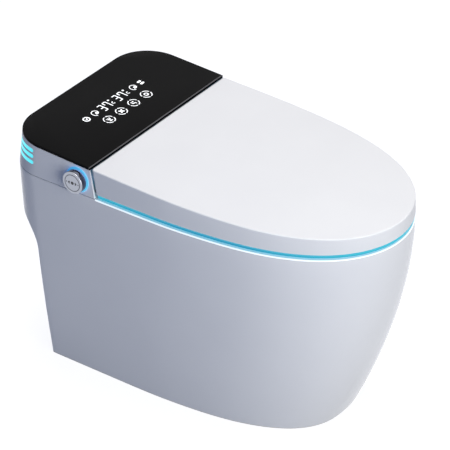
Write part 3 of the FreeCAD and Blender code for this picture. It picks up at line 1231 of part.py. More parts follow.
def flush_pump():
    """Pump with a round casing, its motor on top and a socket for the flush tube."""
    base = V(0, PUMP_Y, TUB_FLOOR)
    casing = rod(PUMP_R, base, base + V(0, 0, PUMP_HEIGHT))
    motor = rod(PUMP_MOTOR_R, base + V(0, 0, PUMP_HEIGHT), base + V(0, 0, PUMP_HEIGHT + PUMP_MOTOR_HEIGHT))
    port_y = PUMP_Y - PUMP_PORT_REACH
    pump = fuse([casing, motor, flush_line(PUMP_PORT_R, port_y, PUMP_Y)])
    return pump.cut(flush_line(FLUSH_R, port_y - OVERRUN, port_y + FLUSH_SOCKET))


def flush_tube():
    """Straight tube from the pump's socket through the walls to the back of the bowl."""
    front_y = BOWL_REAR_Y - FLUSH_INSET
    rear_y = PUMP_Y - PUMP_PORT_REACH + FLUSH_SOCKET
    return flush_line(FLUSH_R, front_y, rear_y).cut(
        flush_line(FLUSH_R - FLUSH_WALL, front_y - OVERRUN, rear_y + OVERRUN))


def cable_gland():
    """Gland through tub and ceramic, with a nut in the tub and a cap under the shelf."""
    low_z = STEP_SHELF_HEIGHT - INLET_REACH
    nut = drop_line(GLAND_X, INLET_Y, GLAND_NUT_R, TUB_FLOOR + INLET_FLANGE, TUB_FLOOR)
    body = drop_line(GLAND_X, INLET_Y, GLAND_R, TUB_FLOOR, low_z)
    cap = drop_line(GLAND_X, INLET_Y, GLAND_CAP_R, low_z + GLAND_CAP, low_z)
    bore = drop_line(GLAND_X, INLET_Y, GLAND_BORE_R, TUB_FLOOR + 2 * INLET_FLANGE, low_z - OVERRUN)
    return fuse([nut, body, cap]).cut(bore)


# Control box and carbon filter
def control_box():
    """Closed electronics box with cooling ribs."""
    x = CONTROL_INSET - RIM_HALF_WIDTH
    y = REAR_Y - CONTROL_REAR_INSET
    top = TRAY_TOP + CONTROL_HEIGHT - CONTROL_RIB
    box = block(x - CONTROL_HALF_WIDTH, x + CONTROL_HALF_WIDTH,
                y - CONTROL_HALF_LENGTH, y + CONTROL_HALF_LENGTH, TRAY_TOP, top)
    upright = [edge for edge in box.Edges if edge.BoundBox.ZLength > CONTROL_EDGE_R]
    parts = [box.makeFillet(CONTROL_EDGE_R, upright)]
    pitch = 2 * (CONTROL_HALF_LENGTH - CONTROL_EDGE_R) / CONTROL_RIBS
    for index in range(CONTROL_RIBS):
        rib_y = y - CONTROL_HALF_LENGTH + CONTROL_EDGE_R + pitch * (index + 0.5)
        parts.append(block(x - CONTROL_HALF_WIDTH + CONTROL_EDGE_R, x + CONTROL_HALF_WIDTH - CONTROL_EDGE_R,
                           rib_y - CONTROL_RIB / 2, rib_y + CONTROL_RIB / 2, top, top + CONTROL_RIB))
    return fuse(parts)


def carbon_cartridge():
    """Filter cartridge for the exhaust air, slotted through."""
    x = RIM_HALF_WIDTH - CARBON_INSET
    y = NOSE_Y + CARBON_BACK
    cartridge = block(x - CARBON_HALF_WIDTH, x + CARBON_HALF_WIDTH,
                      y - CARBON_HALF_LENGTH, y + CARBON_HALF_LENGTH, TRAY_TOP, TRAY_TOP + CARBON_HEIGHT)
    pitch = CARBON_HEIGHT / (CARBON_SLOTS + 1)
    for index in range(CARBON_SLOTS):
        z = TRAY_TOP + pitch * (index + 1)
        slot = block(x - CARBON_HALF_WIDTH - OVERRUN, x + CARBON_HALF_WIDTH + OVERRUN,
                     y - CARBON_HALF_LENGTH + CARBON_SLOT, y + CARBON_HALF_LENGTH - CARBON_SLOT,
                     z - CARBON_SLOT / 2, z + CARBON_SLOT / 2)
        cartridge = cartridge.cut(slot)
    return cartridge


bars = side_light_bars()
ceramic = ceramic_pedestal()
for passage in wall_passages():
    ceramic = ceramic.cut(passage)
pieces = {
    "ceramic_pedestal": ceramic,
    "side_light_bars": bars,
    "rear_cover": rear_cover(bars),
    "glass_panel": glass_panel(),
    "display_board": display_board(),
    "cover_screws": cover_screws(),
    "lid_shell": lid_shell(),
    "lid_bumpers": lid_bumpers(),
    "seat_ring": seat_ring(),
    "seat_base": seat_base(),
    "seat_light_guide": seat_light_guide(),
    "seat_bumpers": seat_bumpers(),
    "hinge_brackets": hinge_brackets(),
    "hinge_pins": hinge_pins(),
    "lid_damper": damper(-1),
    "seat_damper": damper(1),
    "chassis_plate": chassis_plate(),
    "chassis_bolts": chassis_bolts(),
    "equipment_tray": equipment_tray(),
    "knob_cap": knob_cap(),
    "knob_stem": knob_stem(),
    "knob_plunger": knob_plunger(),
    "knob_encoder": knob_encoder(),
    "knob_halo_ring": knob_halo_ring(),
    "nozzle_tip": nozzle_tip(),
    "nozzle_wand": nozzle_wand(),
    "nozzle_pinion": nozzle_pinion(),
    "nozzle_motor": nozzle_motor(),
    "nozzle_guide": nozzle_guide(),
    "blower_housing": blower_housing(),
    "blower_impeller": blower_impeller(),
    "dryer_duct": dryer_duct(),
    "dryer_flap": dryer_flap(),
    "inlet_connector": inlet_connector(),
    "inlet_valve": inlet_valve(),
    "water_heater": water_heater(),
    "water_tank": water_tank(),
    "flush_pump": flush_pump(),
    "flush_tube": flush_tube(),
    "cable_gland": cable_gland(),
    "control_box": control_box(),
    "carbon_cartridge": carbon_cartridge(),
}
for name, shape in pieces.items():
    print(name, shape.isValid(), len(shape.Solids), round(shape.Volume))
    shape.exportStep("parts/" + name + ".step")
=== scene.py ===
import math

import bpy
import numpy as np
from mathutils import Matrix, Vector


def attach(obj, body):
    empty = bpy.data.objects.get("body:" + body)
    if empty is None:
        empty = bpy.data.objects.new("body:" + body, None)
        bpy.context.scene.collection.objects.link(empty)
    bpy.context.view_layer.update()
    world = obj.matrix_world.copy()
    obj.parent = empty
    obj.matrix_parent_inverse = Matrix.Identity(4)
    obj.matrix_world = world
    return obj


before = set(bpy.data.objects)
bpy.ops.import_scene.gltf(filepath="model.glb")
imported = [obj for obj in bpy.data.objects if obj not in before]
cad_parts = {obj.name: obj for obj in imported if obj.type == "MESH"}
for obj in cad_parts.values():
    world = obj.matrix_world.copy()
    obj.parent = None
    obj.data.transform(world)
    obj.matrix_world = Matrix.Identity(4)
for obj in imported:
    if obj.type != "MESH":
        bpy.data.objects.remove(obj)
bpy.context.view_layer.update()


# Ceramic body: one casting of vitreous china, with skirt, deck, bowl and trapway in one piece.
# It is sprayed with white glaze and fired standing on its foot, so the skin is glassy with a slight
# ripple and the ring on which it stands is bare. The round edge of its rim has a painted glow for the
# seat light falling on it and the edge's highlight.
class Value:
    """One socket of a node tree. An operator with a number or another socket adds a Math node."""

    def __init__(self, nodes, socket):
        self.nodes, self.socket = nodes, socket

    def math(self, operation, first, second=0.0):
        return self.nodes.node("Math", {"operation": operation}, {0: first, 1: second})

    def __add__(self, other):
        return self.math("ADD", self, other)

    def __sub__(self, other):
        return self.math("SUBTRACT", self, other)

    def __rsub__(self, other):
        return self.math("SUBTRACT", other, self)

    def __mul__(self, other):
        return self.math("MULTIPLY", self, other)

    def __gt__(self, other):
        return self.math("GREATER_THAN", self, other)

    def __lt__(self, other):
        return self.math("LESS_THAN", self, other)

    __radd__ = __add__
    __rmul__ = __mul__


class Nodes:
    """A node tree, of a finish, the floor or the sky."""

    def __init__(self, tree):
        self.tree = tree

    def plug(self, node, sockets):
        """Sets a node's sockets to numbers or colours, or links them to values."""
        for key, value in sockets.items():
            if isinstance(value, Value):
                self.tree.links.new(value.socket, node.inputs[key])
            else:
                node.inputs[key].default_value = value

    def node(self, kind, settings, sockets, out=0):
        """Any node by its type: first its settings, then its sockets' values or links."""
        made = self.tree.nodes.new("ShaderNode" + kind)
        for key, value in settings.items():
            setattr(made, key, value)
        self.plug(made, sockets)
        return Value(self, made.outputs[out])


class Finish(Nodes):
    """A material with one Principled shader, whose constant sockets are set when it is made."""

    def __init__(self, name, constants):
        self.material = bpy.data.materials.new(name)
        self.material.use_nodes = True
        super().__init__(self.material.node_tree)
        self.shader = self.tree.nodes["Principled BSDF"]
        self.wear(constants)

    def wear(self, sockets):
        """Sets or links sockets of the shader."""
        self.plug(self.shader, sockets)

    def place(self):
        """Object coordinates, in metres in the frame of the whole toilet."""
        return self.node("TexCoord", {}, {}, out="Object")

    def along(self, axis, vector=None):
        """One coordinate of a vector, or else of the place on the toilet."""
        vector = self.place() if vector is None else vector
        return self.node("SeparateXYZ", {}, {0: vector}, out=axis)

    def ramp(self, value, start, end, high=1.0):
        """0 up to where value is start, high from where it is end, and in proportion between."""
        return self.node("MapRange", {}, {0: value, 1: start, 2: end, 3: 0.0, 4: high})

    def noise(self, size, detail=2.0):
        """Noise from 0 to 1 whose lumps are about size metres wide."""
        sockets = {"Vector": self.place(), "Scale": 1.0 / size, "Detail": detail}
        return self.node("TexNoise", {}, sockets)

    def mix(self, share, low, high):
        """A colour between low and high by share, each three numbers or another mix."""
        low, high = (end if isinstance(end, Value) else (*end, 1.0) for end in (low, high))
        return self.node("Mix", {"data_type": "RGBA"}, {0: share, 6: low, 7: high}, out=2)

    def bump(self, height, strength, reach):
        """A Normal from a height, of reach metres between 0 and 1."""
        sockets = {"Height": height, "Strength": strength, "Distance": reach}
        return self.node("Bump", {}, sockets)


def dress(finish, *names):
    """Gives CAD nodes a finish. Weld and edge split round off their facets and keep sharp edges."""
    same_corner, sharp_edge = 1e-5, math.radians(28)
    for name in names:
        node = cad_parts[name]
        node.data.materials.clear()
        node.data.materials.append(finish.material)
        node.data.shade_smooth()
        node.modifiers.new("weld", "WELD").merge_threshold = same_corner
        node.modifiers.new("edges", "EDGE_SPLIT").split_angle = sharp_edge


foot_top, rim_edge_low, rim_edge_high, light_end_y = 0.0012, 0.3962, 0.39796, 0.091
glaze = Finish("white glaze", {
    "Coat Weight": 0.05, "Coat Roughness": 0.04, "Specular IOR Level": 0.2, "Emission Strength": 1.0,
})
glaze_shift = glaze.noise(0.16)
glaze_ripple = glaze.noise(0.035, 1.0)
glaze_y, glaze_z = glaze.along("Y"), glaze.along("Z")
bare_foot = glaze_z < foot_top
# Painted light: emitted colour on the rim's round edge stands in for the seat light's spill and
# highlight.
painted_rim_glow = (glaze_z > rim_edge_low) * (glaze_z < rim_edge_high) * (glaze_y < light_end_y)
clay_grain = glaze.noise(0.0015, 4.0)
glaze_white = glaze.mix(glaze_shift, (0.80, 0.81, 0.83), (0.85, 0.86, 0.875))
bare_clay = glaze.mix(clay_grain, (0.60, 0.56, 0.49), (0.70, 0.66, 0.59))
glaze.wear({
    "Base Color": glaze.mix(bare_foot, glaze_white, bare_clay),
    "Roughness": 0.10 + 0.08 * glaze_shift + 0.65 * bare_foot,
    "Normal": glaze.bump(glaze_ripple, 0.06, 0.0006),
    "Emission Color": glaze.mix(painted_rim_glow, (0.0, 0.0, 0.0), (0.42, 0.50, 0.52)),
})
dress(glaze, "ceramic_pedestal")


# Chassis of the upper unit: a grey polypropylene moulding whose tub drops into the ceramic's pocket,
# with a tray over it and four steel bolts down into the deck. Its skin has a fine spark-eroded grain.
def moulded(name, low, high, rough):
    """Moulded plastic: two near tones in soft clouds, over a grain of about half a millimetre."""
    made = Finish(name, {"Specular IOR Level": 0.4})
    cloud, grain = made.noise(0.05), made.noise(0.0005, 3.0)
    made.wear({
        "Base Color": made.mix(cloud, low, high),
        "Roughness": rough + 0.12 * grain,
        "Normal": made.bump(grain, 0.25, 0.00012),
    })
    return made


def drawn_metal(name, low, high, rough, size):
    """Bare metal: a bright and a darker tone in fine clouds of that size, which also vary its gloss."""
    made = Finish(name, {"Metallic": 1.0})
    cloud = made.noise(size, 5.0)
    made.wear({
        "Base Color": made.mix(cloud, low, high),
        "Roughness": rough + 0.15 * cloud,
        "Normal": made.bump(cloud, 0.12, 0.00005),
    })
    return made


chassis_grey = moulded("chassis grey", (0.42, 0.43, 0.45), (0.48, 0.49, 0.51), 0.46)
dress(chassis_grey, "chassis_plate")
tray_grey = moulded("tray grey", (0.30, 0.31, 0.33), (0.36, 0.37, 0.39), 0.5)
dress(tray_grey, "equipment_tray")
bolt_steel = drawn_metal("zinc-plated steel", (0.52, 0.53, 0.54), (0.66, 0.66, 0.67), 0.28, 0.002)
dress(bolt_steel, "chassis_bolts", "cover_screws")


# Water line: a brass inlet with its valve, a heater in an aluminium can, a milky tank, the flush
# pump and its tube. All are bought-in parts, screwed or clipped into the tub.
inlet_brass = drawn_metal("turned brass", (0.62, 0.46, 0.20), (0.76, 0.60, 0.31), 0.25, 0.0015)
dress(inlet_brass, "inlet_connector")
valve_body = moulded("valve ivory", (0.66, 0.64, 0.57), (0.72, 0.70, 0.63), 0.42)
dress(valve_body, "inlet_valve")
heater_can = drawn_metal("aluminium can", (0.60, 0.61, 0.62), (0.74, 0.75, 0.76), 0.3, 0.003)
dress(heater_can, "water_heater")
tank_milky = moulded("milky polyethylene", (0.74, 0.77, 0.78), (0.82, 0.84, 0.85), 0.4)
dress(tank_milky, "water_tank")
pump_black = moulded("pump black", (0.035, 0.035, 0.038), (0.06, 0.06, 0.064), 0.48)
dress(pump_black, "flush_pump")
tube_grey = moulded("hose grey", (0.22, 0.23, 0.25), (0.28, 0.29, 0.31), 0.55)
dress(tube_grey, "flush_tube", "cable_gland")


# Warm air and odour filter: a drum blower whose duct leads to a flap in the hood, and a cartridge of
# carbon in the tray. They are thin mouldings, the wheel dark and the flap the colour of the hood.
blower_grey = moulded("blower grey", (0.20, 0.21, 0.22), (0.26, 0.27, 0.28), 0.5)
dress(blower_grey, "blower_housing", "dryer_duct")
wheel_black = moulded("wheel black", (0.03, 0.03, 0.032), (0.05, 0.05, 0.053), 0.45)
dress(wheel_black, "blower_impeller")
flap_white = moulded("flap white", (0.76, 0.77, 0.78), (0.82, 0.83, 0.84), 0.36)
dress(flap_white, "dryer_flap")
carbon_green = moulded("cartridge green", (0.13, 0.22, 0.17), (0.18, 0.28, 0.22), 0.5)
dress(carbon_green, "carbon_cartridge")


# Controls: a sealed box for the main board, and the display's own board under the glass, lacquered
# green fibreglass with a faint weave.
control_dark = moulded("control box", (0.10, 0.105, 0.115), (0.14, 0.145, 0.155), 0.5)
dress(control_dark, "control_box")
board = Finish("green lacquered board", {"Coat Weight": 0.4, "Coat Roughness": 0.2})
board_thread = {"Vector": board.place(), "Scale": 260.0}
board_warp = board.node("TexWave", {"bands_direction": "X"}, board_thread)
board_weft = board.node("TexWave", {"bands_direction": "Y"}, board_thread)
board_weave = board_warp * board_weft
board.wear({
    "Base Color": board.mix(board_weave, (0.012, 0.09, 0.045), (0.02, 0.15, 0.075)),
    "Roughness": 0.4 + 0.1 * board_weave,
    "Normal": board.bump(board_weave, 0.2, 0.0001),
})
dress(board, "display_board")


# Spray nozzle: a wand of white acetal with a rack along its back, a steel tip with three jets, the
# pinion of a small geared motor and the channel that guides it.
wand_white = moulded("acetal white", (0.78, 0.79, 0.80), (0.83, 0.84, 0.85), 0.3)
dress(wand_white, "nozzle_wand", "nozzle_pinion")
tip_steel = drawn_metal("polished steel", (0.60, 0.61, 0.62), (0.72, 0.72, 0.73), 0.1, 0.004)
dress(tip_steel, "nozzle_tip")
dress(heater_can, "nozzle_motor")
dress(tray_grey, "nozzle_guide")


# Upper unit: a white gloss shell with straight sides, rounded rear corners and a hood under the lid.
# Lid and seat are the same hard plastic, moulded with a high gloss and a barely seen flow ripple. The
# shell's foot gets a painted shade, and the knob halo's glow is painted on its side as emitted colour.
def gloss_white(name, low, high, rough):
    """Gloss-moulded white plastic: two near whites in wide clouds, and a ripple of about 20 mm."""
    made = Finish(name, {"Coat Weight": 0.02, "Coat Roughness": 0.08, "Specular IOR Level": 0.06})
    cloud, ripple = made.noise(0.11), made.noise(0.02, 1.0)
    made.white = made.mix(cloud, low, high)
    made.wear({
        "Base Color": made.white,
        "Roughness": rough + 0.08 * cloud,
        "Normal": made.bump(ripple, 0.04, 0.0003),
    })
    return made


seam_top, halo_centre, halo_rim, halo_end = 0.3996, (-0.198, 0.128, 0.4255), 0.017, 0.034
cover_white = gloss_white("cover white", (0.78, 0.79, 0.81), (0.82, 0.83, 0.85), 0.2)
halo_way = cover_white.node("VectorMath", {"operation": "DISTANCE"},
                            {0: cover_white.place(), 1: halo_centre}, out="Value")
# Painted light: the halo ring's glow on the shell is painted as emitted colour, fading with distance.
painted_halo_glow = cover_white.ramp(halo_way, halo_end, halo_rim)
# Painted shade: the cover's lowest strip is darkened for the shadow in the gap above the ceramic.
painted_seam_shade = cover_white.along("Z") < seam_top
cover_white.wear({
    "Base Color": cover_white.mix(painted_seam_shade, cover_white.white, (0.30, 0.31, 0.34)),
    "Emission Color": cover_white.mix(painted_halo_glow * painted_halo_glow, (0.0, 0.0, 0.0), (0.0, 0.16, 0.62)),
    "Emission Strength": 0.7,
})
dress(cover_white, "rear_cover")


# Light bars: three diffusers on each rear corner of the shell, snapped in from inside, flush with it
# and lit cyan from behind. They are a little brighter towards the back.
bar_front_y, bar_bend_y = 0.224, 0.25
bar_light = Finish("cyan light bars", {
    "Roughness": 0.35, "Emission Strength": 1.0, "Specular IOR Level": 0.3,
})
bar_glow = bar_light.ramp(bar_light.along("Y"), bar_front_y, bar_bend_y)
bar_frost = bar_light.noise(0.002)
bar_light.wear({
    "Base Color": bar_light.mix(bar_frost, (0.10, 0.45, 0.50), (0.12, 0.50, 0.55)),
    "Emission Color": bar_light.mix(bar_glow, (0.06, 0.66, 0.74), (0.09, 0.76, 0.85)),
    "Normal": bar_light.bump(bar_frost, 0.1, 0.0001),
})
dress(bar_light, "side_light_bars")


# Control panel: a sheet of toughened glass, etched against glare on top, printed black behind and
# ground round at its edge. It is glued on the shell and gives the unit its flat sloping top.
glass_slope, glass_front = 0.05417, (0.0, 0.103, 0.456)
edge_width, edge_depth = 0.0017, 0.0012
panel_glass = Finish("black panel glass", {"Specular IOR Level": 0.02})
etch = panel_glass.noise(0.0006, 3.0)
panel_cloud = panel_glass.noise(0.09)
panel_black = panel_glass.mix(panel_cloud, (0.0040, 0.0040, 0.0042), (0.0055, 0.0055, 0.0057))
panel_place = panel_glass.node("VectorMath", {"operation": "SUBTRACT"},
                               {0: panel_glass.place(), 1: glass_front})
panel_y = panel_glass.along("Y", panel_place)
panel_rise = panel_glass.along("Z", panel_place) - glass_slope * panel_y
# The front edge is left lighter grey: partly the unprinted ground edge, partly a painted highlight of
# its round.
ground_edge_and_highlight = (panel_y < edge_width) * (panel_rise > -edge_depth)
panel_glass.wear({
    "Base Color": panel_glass.mix(ground_edge_and_highlight, panel_black, (0.11, 0.11, 0.115)),
    "Roughness": 0.16 + 0.1 * etch,
    "Normal": panel_glass.bump(etch, 0.03, 0.00002),
})
dress(panel_glass, "glass_panel")


# Touch symbols: white light through clear windows in the panel's black print. A row of readings, two
# temperatures among them, stands behind four round keys. Each line is a thin strip on the glass.
def stroke(path, width, thick, origin, across, up):
    """A flat line with round ends: a rectangle carried along path, points in mm in the plane of
    across and up through origin. Its half-width is r, or sqrt(r*r - (r-s)*(r-s)) where s, the
    length to the nearer end, is under r. Gives corners in mm and quads."""
    r = width / 2
    lengths = np.concatenate([[0.0], np.cumsum(np.linalg.norm(np.diff(path, axis=0), axis=1))])
    total = lengths[-1]
    cap = r * (1 - np.cos(np.linspace(0.12, np.pi / 2, 7)))
    middle = np.linspace(r, total - r, 3 * len(path) + 1)
    stations = np.unique(np.concatenate([cap, middle, total - cap]).round(5))
    points = np.stack([np.interp(stations, lengths, path[:, k]) for k in (0, 1)], axis=1)
    near = np.minimum(np.minimum(stations, total - stations), r)
    half = np.sqrt(r * r - (r - near) ** 2)[:, None]
    tangent = np.gradient(points, stations, axis=0)
    tangent /= np.linalg.norm(tangent, axis=1)[:, None]
    side = tangent[:, ::-1] * (-1, 1) * half
    flat = np.stack([points + side, points - side, points - side, points + side], axis=1)
    rise = np.array([0.0, 0.0, thick, thick])[None, :, None]
    across, up = np.array(across, float), np.array(up, float)
    out = np.cross(across, up)
    corners = np.array(origin) + flat[..., :1] * across + flat[..., 1:] * up + rise * out
    ring = np.arange(4)
    last = 4 * (len(stations) - 1)
    rows = np.arange(0, last, 4)[:, None]
    first, second = rows + ring, rows + (ring + 1) % 4
    walls = np.stack([second, first, first + 4, second + 4], axis=2).reshape(-1, 4)
    ends = np.array([[0, 1, 2, 3], [last + 3, last + 2, last + 1, last]])
    return corners.reshape(-1, 3), np.concatenate([walls, ends])


def join(parts):
    """Several meshes as one: each one's faces count from where its corners start."""
    starts = np.cumsum([0] + [len(corners) for corners, faces in parts[:-1]])
    corners = np.concatenate([corners for corners, faces in parts])
    return corners, np.concatenate([faces + start for (_, faces), start in zip(parts, starts)])


def piece(name, parts, finish, body):
    """A new piece from meshes in mm, in its finish, riding on a body."""
    corners, faces = join(parts)
    mesh = bpy.data.meshes.new(name)
    mesh.from_pydata((corners / 1000).tolist(), [], faces.tolist())
    mesh.materials.append(finish.material)
    made = bpy.data.objects.new(name, mesh)
    bpy.context.scene.collection.objects.link(made)
    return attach(made, body)


def arc(x, y, radius, start, end, count=22):
    """Points on a circle, or on a spiral where radius is a pair, between two angles in degrees."""
    angle = np.radians(np.linspace(start, end, count))
    reach = np.linspace(*radius, count) if isinstance(radius, tuple) else radius
    return np.stack([x + reach * np.cos(angle), y + reach * np.sin(angle)], axis=1)


def line(*points):
    """The points themselves, as the corners of a path."""
    return np.array(points, float)


def dot(x, y, size):
    """A filled round dot with its width, as the shortest line that has both its round ends."""
    half = 0.51 * size
    return line((x - half, y), (x + half, y)), size


reading_y, key_y, print_lift, print_thick = 99.0, 67.2, 0.03, 0.08


def printed(lines):
    """Strips on the glass from (path, width) pairs, with y counted from the panel's front edge."""
    origin, up = 1000 * np.array(glass_front) + (0, 0, print_lift), (0, 1, glass_slope)
    return [stroke(path, width, print_thick, origin, (1, 0, 0), up) for path, width in lines]


def key_ring(x):
    """Four arcs round a key, with a gap of 14 degrees between them."""
    radius, width = 10.4, 1.8
    return [(arc(x, key_y, radius, turn + 7, turn + 83), width) for turn in (0, 90, 180, 270)]


def digit(x, segments):
    """A figure of up to six bars, 20 mm high and 9 mm wide, with its middle at x."""
    width, left, right = 2.2, x - 4.0, x + 4.0
    low, middle, high = reading_y - 9.5, reading_y, reading_y + 9.5
    bars = {
        "a": line((left, high), (right, high)), "g": line((left, middle), (right, middle)),
        "d": line((left, low), (right, low)), "b": line((right, high), (right, middle)),
        "c": line((right, middle), (right, low)), "f": line((left, high), (left, middle + 2)),
    }
    return [(bars[name], width) for name in segments]


def temperature(x):
    """The figures 3 and 7, 14.6 mm apart, the first with its middle at x."""
    return digit(x, "abcdg") + digit(x + 14.6, "abcf")


def swirl(x):
    """A spiral with a filled core."""
    turns = arc(x, reading_y, (9.0, 4.2), 250, -130, 40)
    return [(turns, 1.7), dot(x + 1.2, reading_y - 1.6, 5.6)]


icon_light = Finish("white symbol light", {"Roughness": 0.4, "Emission Strength": 0.9})
icon_haze = icon_light.noise(0.004)
icon_light.wear({
    "Base Color": icon_light.mix(icon_haze, (0.55, 0.56, 0.57), (0.62, 0.63, 0.64)),
    "Emission Color": icon_light.mix(icon_haze, (0.80, 0.82, 0.84), (0.92, 0.93, 0.94)),
})

spray_x, fan_x, seat_x, stop_x = -51.5, -16.6, 18.9, 55.7
spray_jets = [(line((spray_x + 0.4 * lean, key_y - 2.2), (spray_x + lean, key_y + 4.6)), 1.6)
              for lean in (-4.0, 0.0, 4.0)]
spray_foot = [(line((spray_x - 3.6, key_y - 4.6), (spray_x + 3.6, key_y - 4.6)), 2.4)]
fan_blades = [(line((fan_x - 4.2, key_y - rise), (fan_x + 4.2, key_y + rise)), 3.2)
              for rise in (4.2, -4.2)]
sitter = [(line((seat_x - 3, key_y + 5), (seat_x - 3, key_y - 1.5), (seat_x + 2.6, key_y - 1.5),
                (seat_x + 2.6, key_y - 5.5)), 2.0), dot(seat_x + 1.4, key_y + 3.5, 3.4)]
stop_ring = [(arc(stop_x, key_y, 3.7, -180, 178, 30), 2.2)]
key_lines = key_ring(spray_x) + key_ring(fan_x) + key_ring(seat_x) + key_ring(stop_x)
key_lines += spray_jets + spray_foot + fan_blades + sitter + stop_ring
panel_keys = piece("panel_keys", printed(key_lines), icon_light, "toilet")

left_swirl_x, right_swirl_x, timer_x, bar_left, bar_right = -50.0, 60.5, -76.5, 76.5, 86.5
degree_dots = [dot(x, reading_y + 8.0, 4.2) for x in (-3.4, 39.4)]
degree_arcs = [(arc(x, reading_y - 3.4, 2.9, 60, 300, 16), 1.6) for x in (-2.6, 40.2)]
timer_ring = [(arc(timer_x, reading_y - 1, 6.0, -180, 178, 30), 2.6)]
timer_hands = [(line((timer_x - 2.5, reading_y - 0.5), (timer_x - 0.3, reading_y - 3),
                     (timer_x + 2.9, reading_y + 1.5)), 1.8)]
level_bars = [(line((bar_left, y), (bar_right, y)), 4.8) for y in (reading_y - 3.6, reading_y + 3.6)]
reading_lines = swirl(left_swirl_x) + swirl(right_swirl_x) + temperature(-30.0) + temperature(12.6)
reading_lines += degree_dots + degree_arcs + timer_ring + timer_hands + level_bars
panel_readings = piece("panel_readings", printed(reading_lines), icon_light, "toilet")


# Knob: turned from aluminium and plated, its side polished bright and darkened by a painted reflection,
# its face finely turned with a groove round it. It sits on a steel stem in the plunger of a push
# encoder, and a ring of light shines round its foot.
knob_face, face_depth = (-0.2117, 0.128, 0.4255), 0.0012
groove_inner, groove_outer, turning_waves = 0.0149, 0.0161, 9000.0
knob_bright = Finish("bright turned metal", {"Metallic": 1.0})
knob_middle = knob_bright.node("VectorMath", {"operation": "SUBTRACT"},
                               {0: knob_bright.place(), 1: knob_face})
knob_flat = knob_bright.node("VectorMath", {"operation": "MULTIPLY"},
                             {0: knob_middle, 1: (0.0, 1.0, 1.0)})
knob_reach = knob_bright.node("VectorMath", {"operation": "LENGTH"}, {0: knob_flat}, out="Value")
turning = knob_bright.node("Math", {"operation": "SINE"}, {0: knob_reach * turning_waves})
on_face = knob_bright.along("X", knob_middle) < face_depth
knob_cloud = knob_bright.noise(0.006, 3.0)
# Painted shade: a dark ring on the face stands in for the shade in a polished groove.
painted_groove_shade = (knob_reach > groove_inner) * (knob_reach < groove_outer) * on_face
# Painted reflection: the side gets a dark tone for chrome's dark reflections, and the face stays light.
knob_tone_painted_side = knob_bright.mix(on_face, (0.17, 0.18, 0.23), (0.40, 0.42, 0.47))
knob_bright.wear({
    "Base Color": knob_bright.mix(painted_groove_shade, knob_tone_painted_side, (0.07, 0.075, 0.09)),
    "Roughness": 0.07 + 0.22 * on_face + 0.05 * knob_cloud,
    "Normal": knob_bright.bump(turning * on_face, 0.15, 0.00003),
})
dress(knob_bright, "knob_cap")
dress(tip_steel, "knob_stem")
dress(control_dark, "knob_plunger", "knob_encoder")

halo_rear_y, halo_front_y = 0.146, 0.108
halo_light = Finish("blue halo light", {
    "Roughness": 0.35, "Emission Strength": 1.0, "Specular IOR Level": 0.3,
})
halo_frost = halo_light.noise(0.002)
halo_front = halo_light.ramp(halo_light.along("Y"), halo_rear_y, halo_front_y)
halo_light.wear({
    "Base Color": halo_light.mix(halo_frost, (0.10, 0.35, 0.60), (0.14, 0.40, 0.65)),
    "Emission Color": halo_light.mix(halo_front, (0.0, 0.20, 0.46), (0.09, 0.42, 0.56)),
})
dress(halo_light, "knob_halo_ring")

mark_origin, mark_thick = (-211.73, 128.0, 425.5), 0.05
mark_ink = Finish("dark mark", {"Roughness": 0.5})
mark_fade = mark_ink.noise(0.001)
mark_ink.wear({
    "Base Color": mark_ink.mix(mark_fade, (0.015, 0.015, 0.018), (0.04, 0.04, 0.045)),
})
mark_lines = [dot(0, 0, 6.2), dot(-12.4, 0, 2.2), dot(12.4, 0, 2.2)]
mark_lines += [(line((hand * 5.4, 2.4), (hand * 8.2, 0), (hand * 5.4, -2.4)), 2.2)
               for hand in (-1, 1)]
mark_strips = [stroke(path, width, mark_thick, mark_origin, (0, -1, 0), (0, 0, 1))
               for path, width in mark_lines]
knob_marks = piece("knob_marks", mark_strips, mark_ink, "knob")


# Hinge: moulded posts, screwed on the deck behind the bowl, and ground steel pins on one line for lid
# and seat. An oil damper on each side lets one of them down slowly.
hinge_grey = moulded("hinge grey", (0.50, 0.51, 0.53), (0.56, 0.57, 0.59), 0.42)
dress(hinge_grey, "hinge_brackets", "lid_damper", "seat_damper")
pin_steel = drawn_metal("ground steel pin", (0.58, 0.58, 0.59), (0.68, 0.68, 0.69), 0.18, 0.003)
dress(pin_steel, "hinge_pins")


# Seat: a hard white ring welded to its base, with rubber feet, and a light guide under its outer edge
# that shows as a cyan line between lid and rim. The guide is deep blue at the middle of its length,
# paler to both ends and at its top, and its underside lights the rim.
seat_white = gloss_white("seat white", (0.79, 0.80, 0.82), (0.83, 0.84, 0.86), 0.24)
dress(seat_white, "seat_ring", "seat_base")
foot_rubber = moulded("soft grey rubber", (0.55, 0.56, 0.57), (0.62, 0.63, 0.64), 0.65)
dress(foot_rubber, "seat_bumpers", "lid_bumpers")

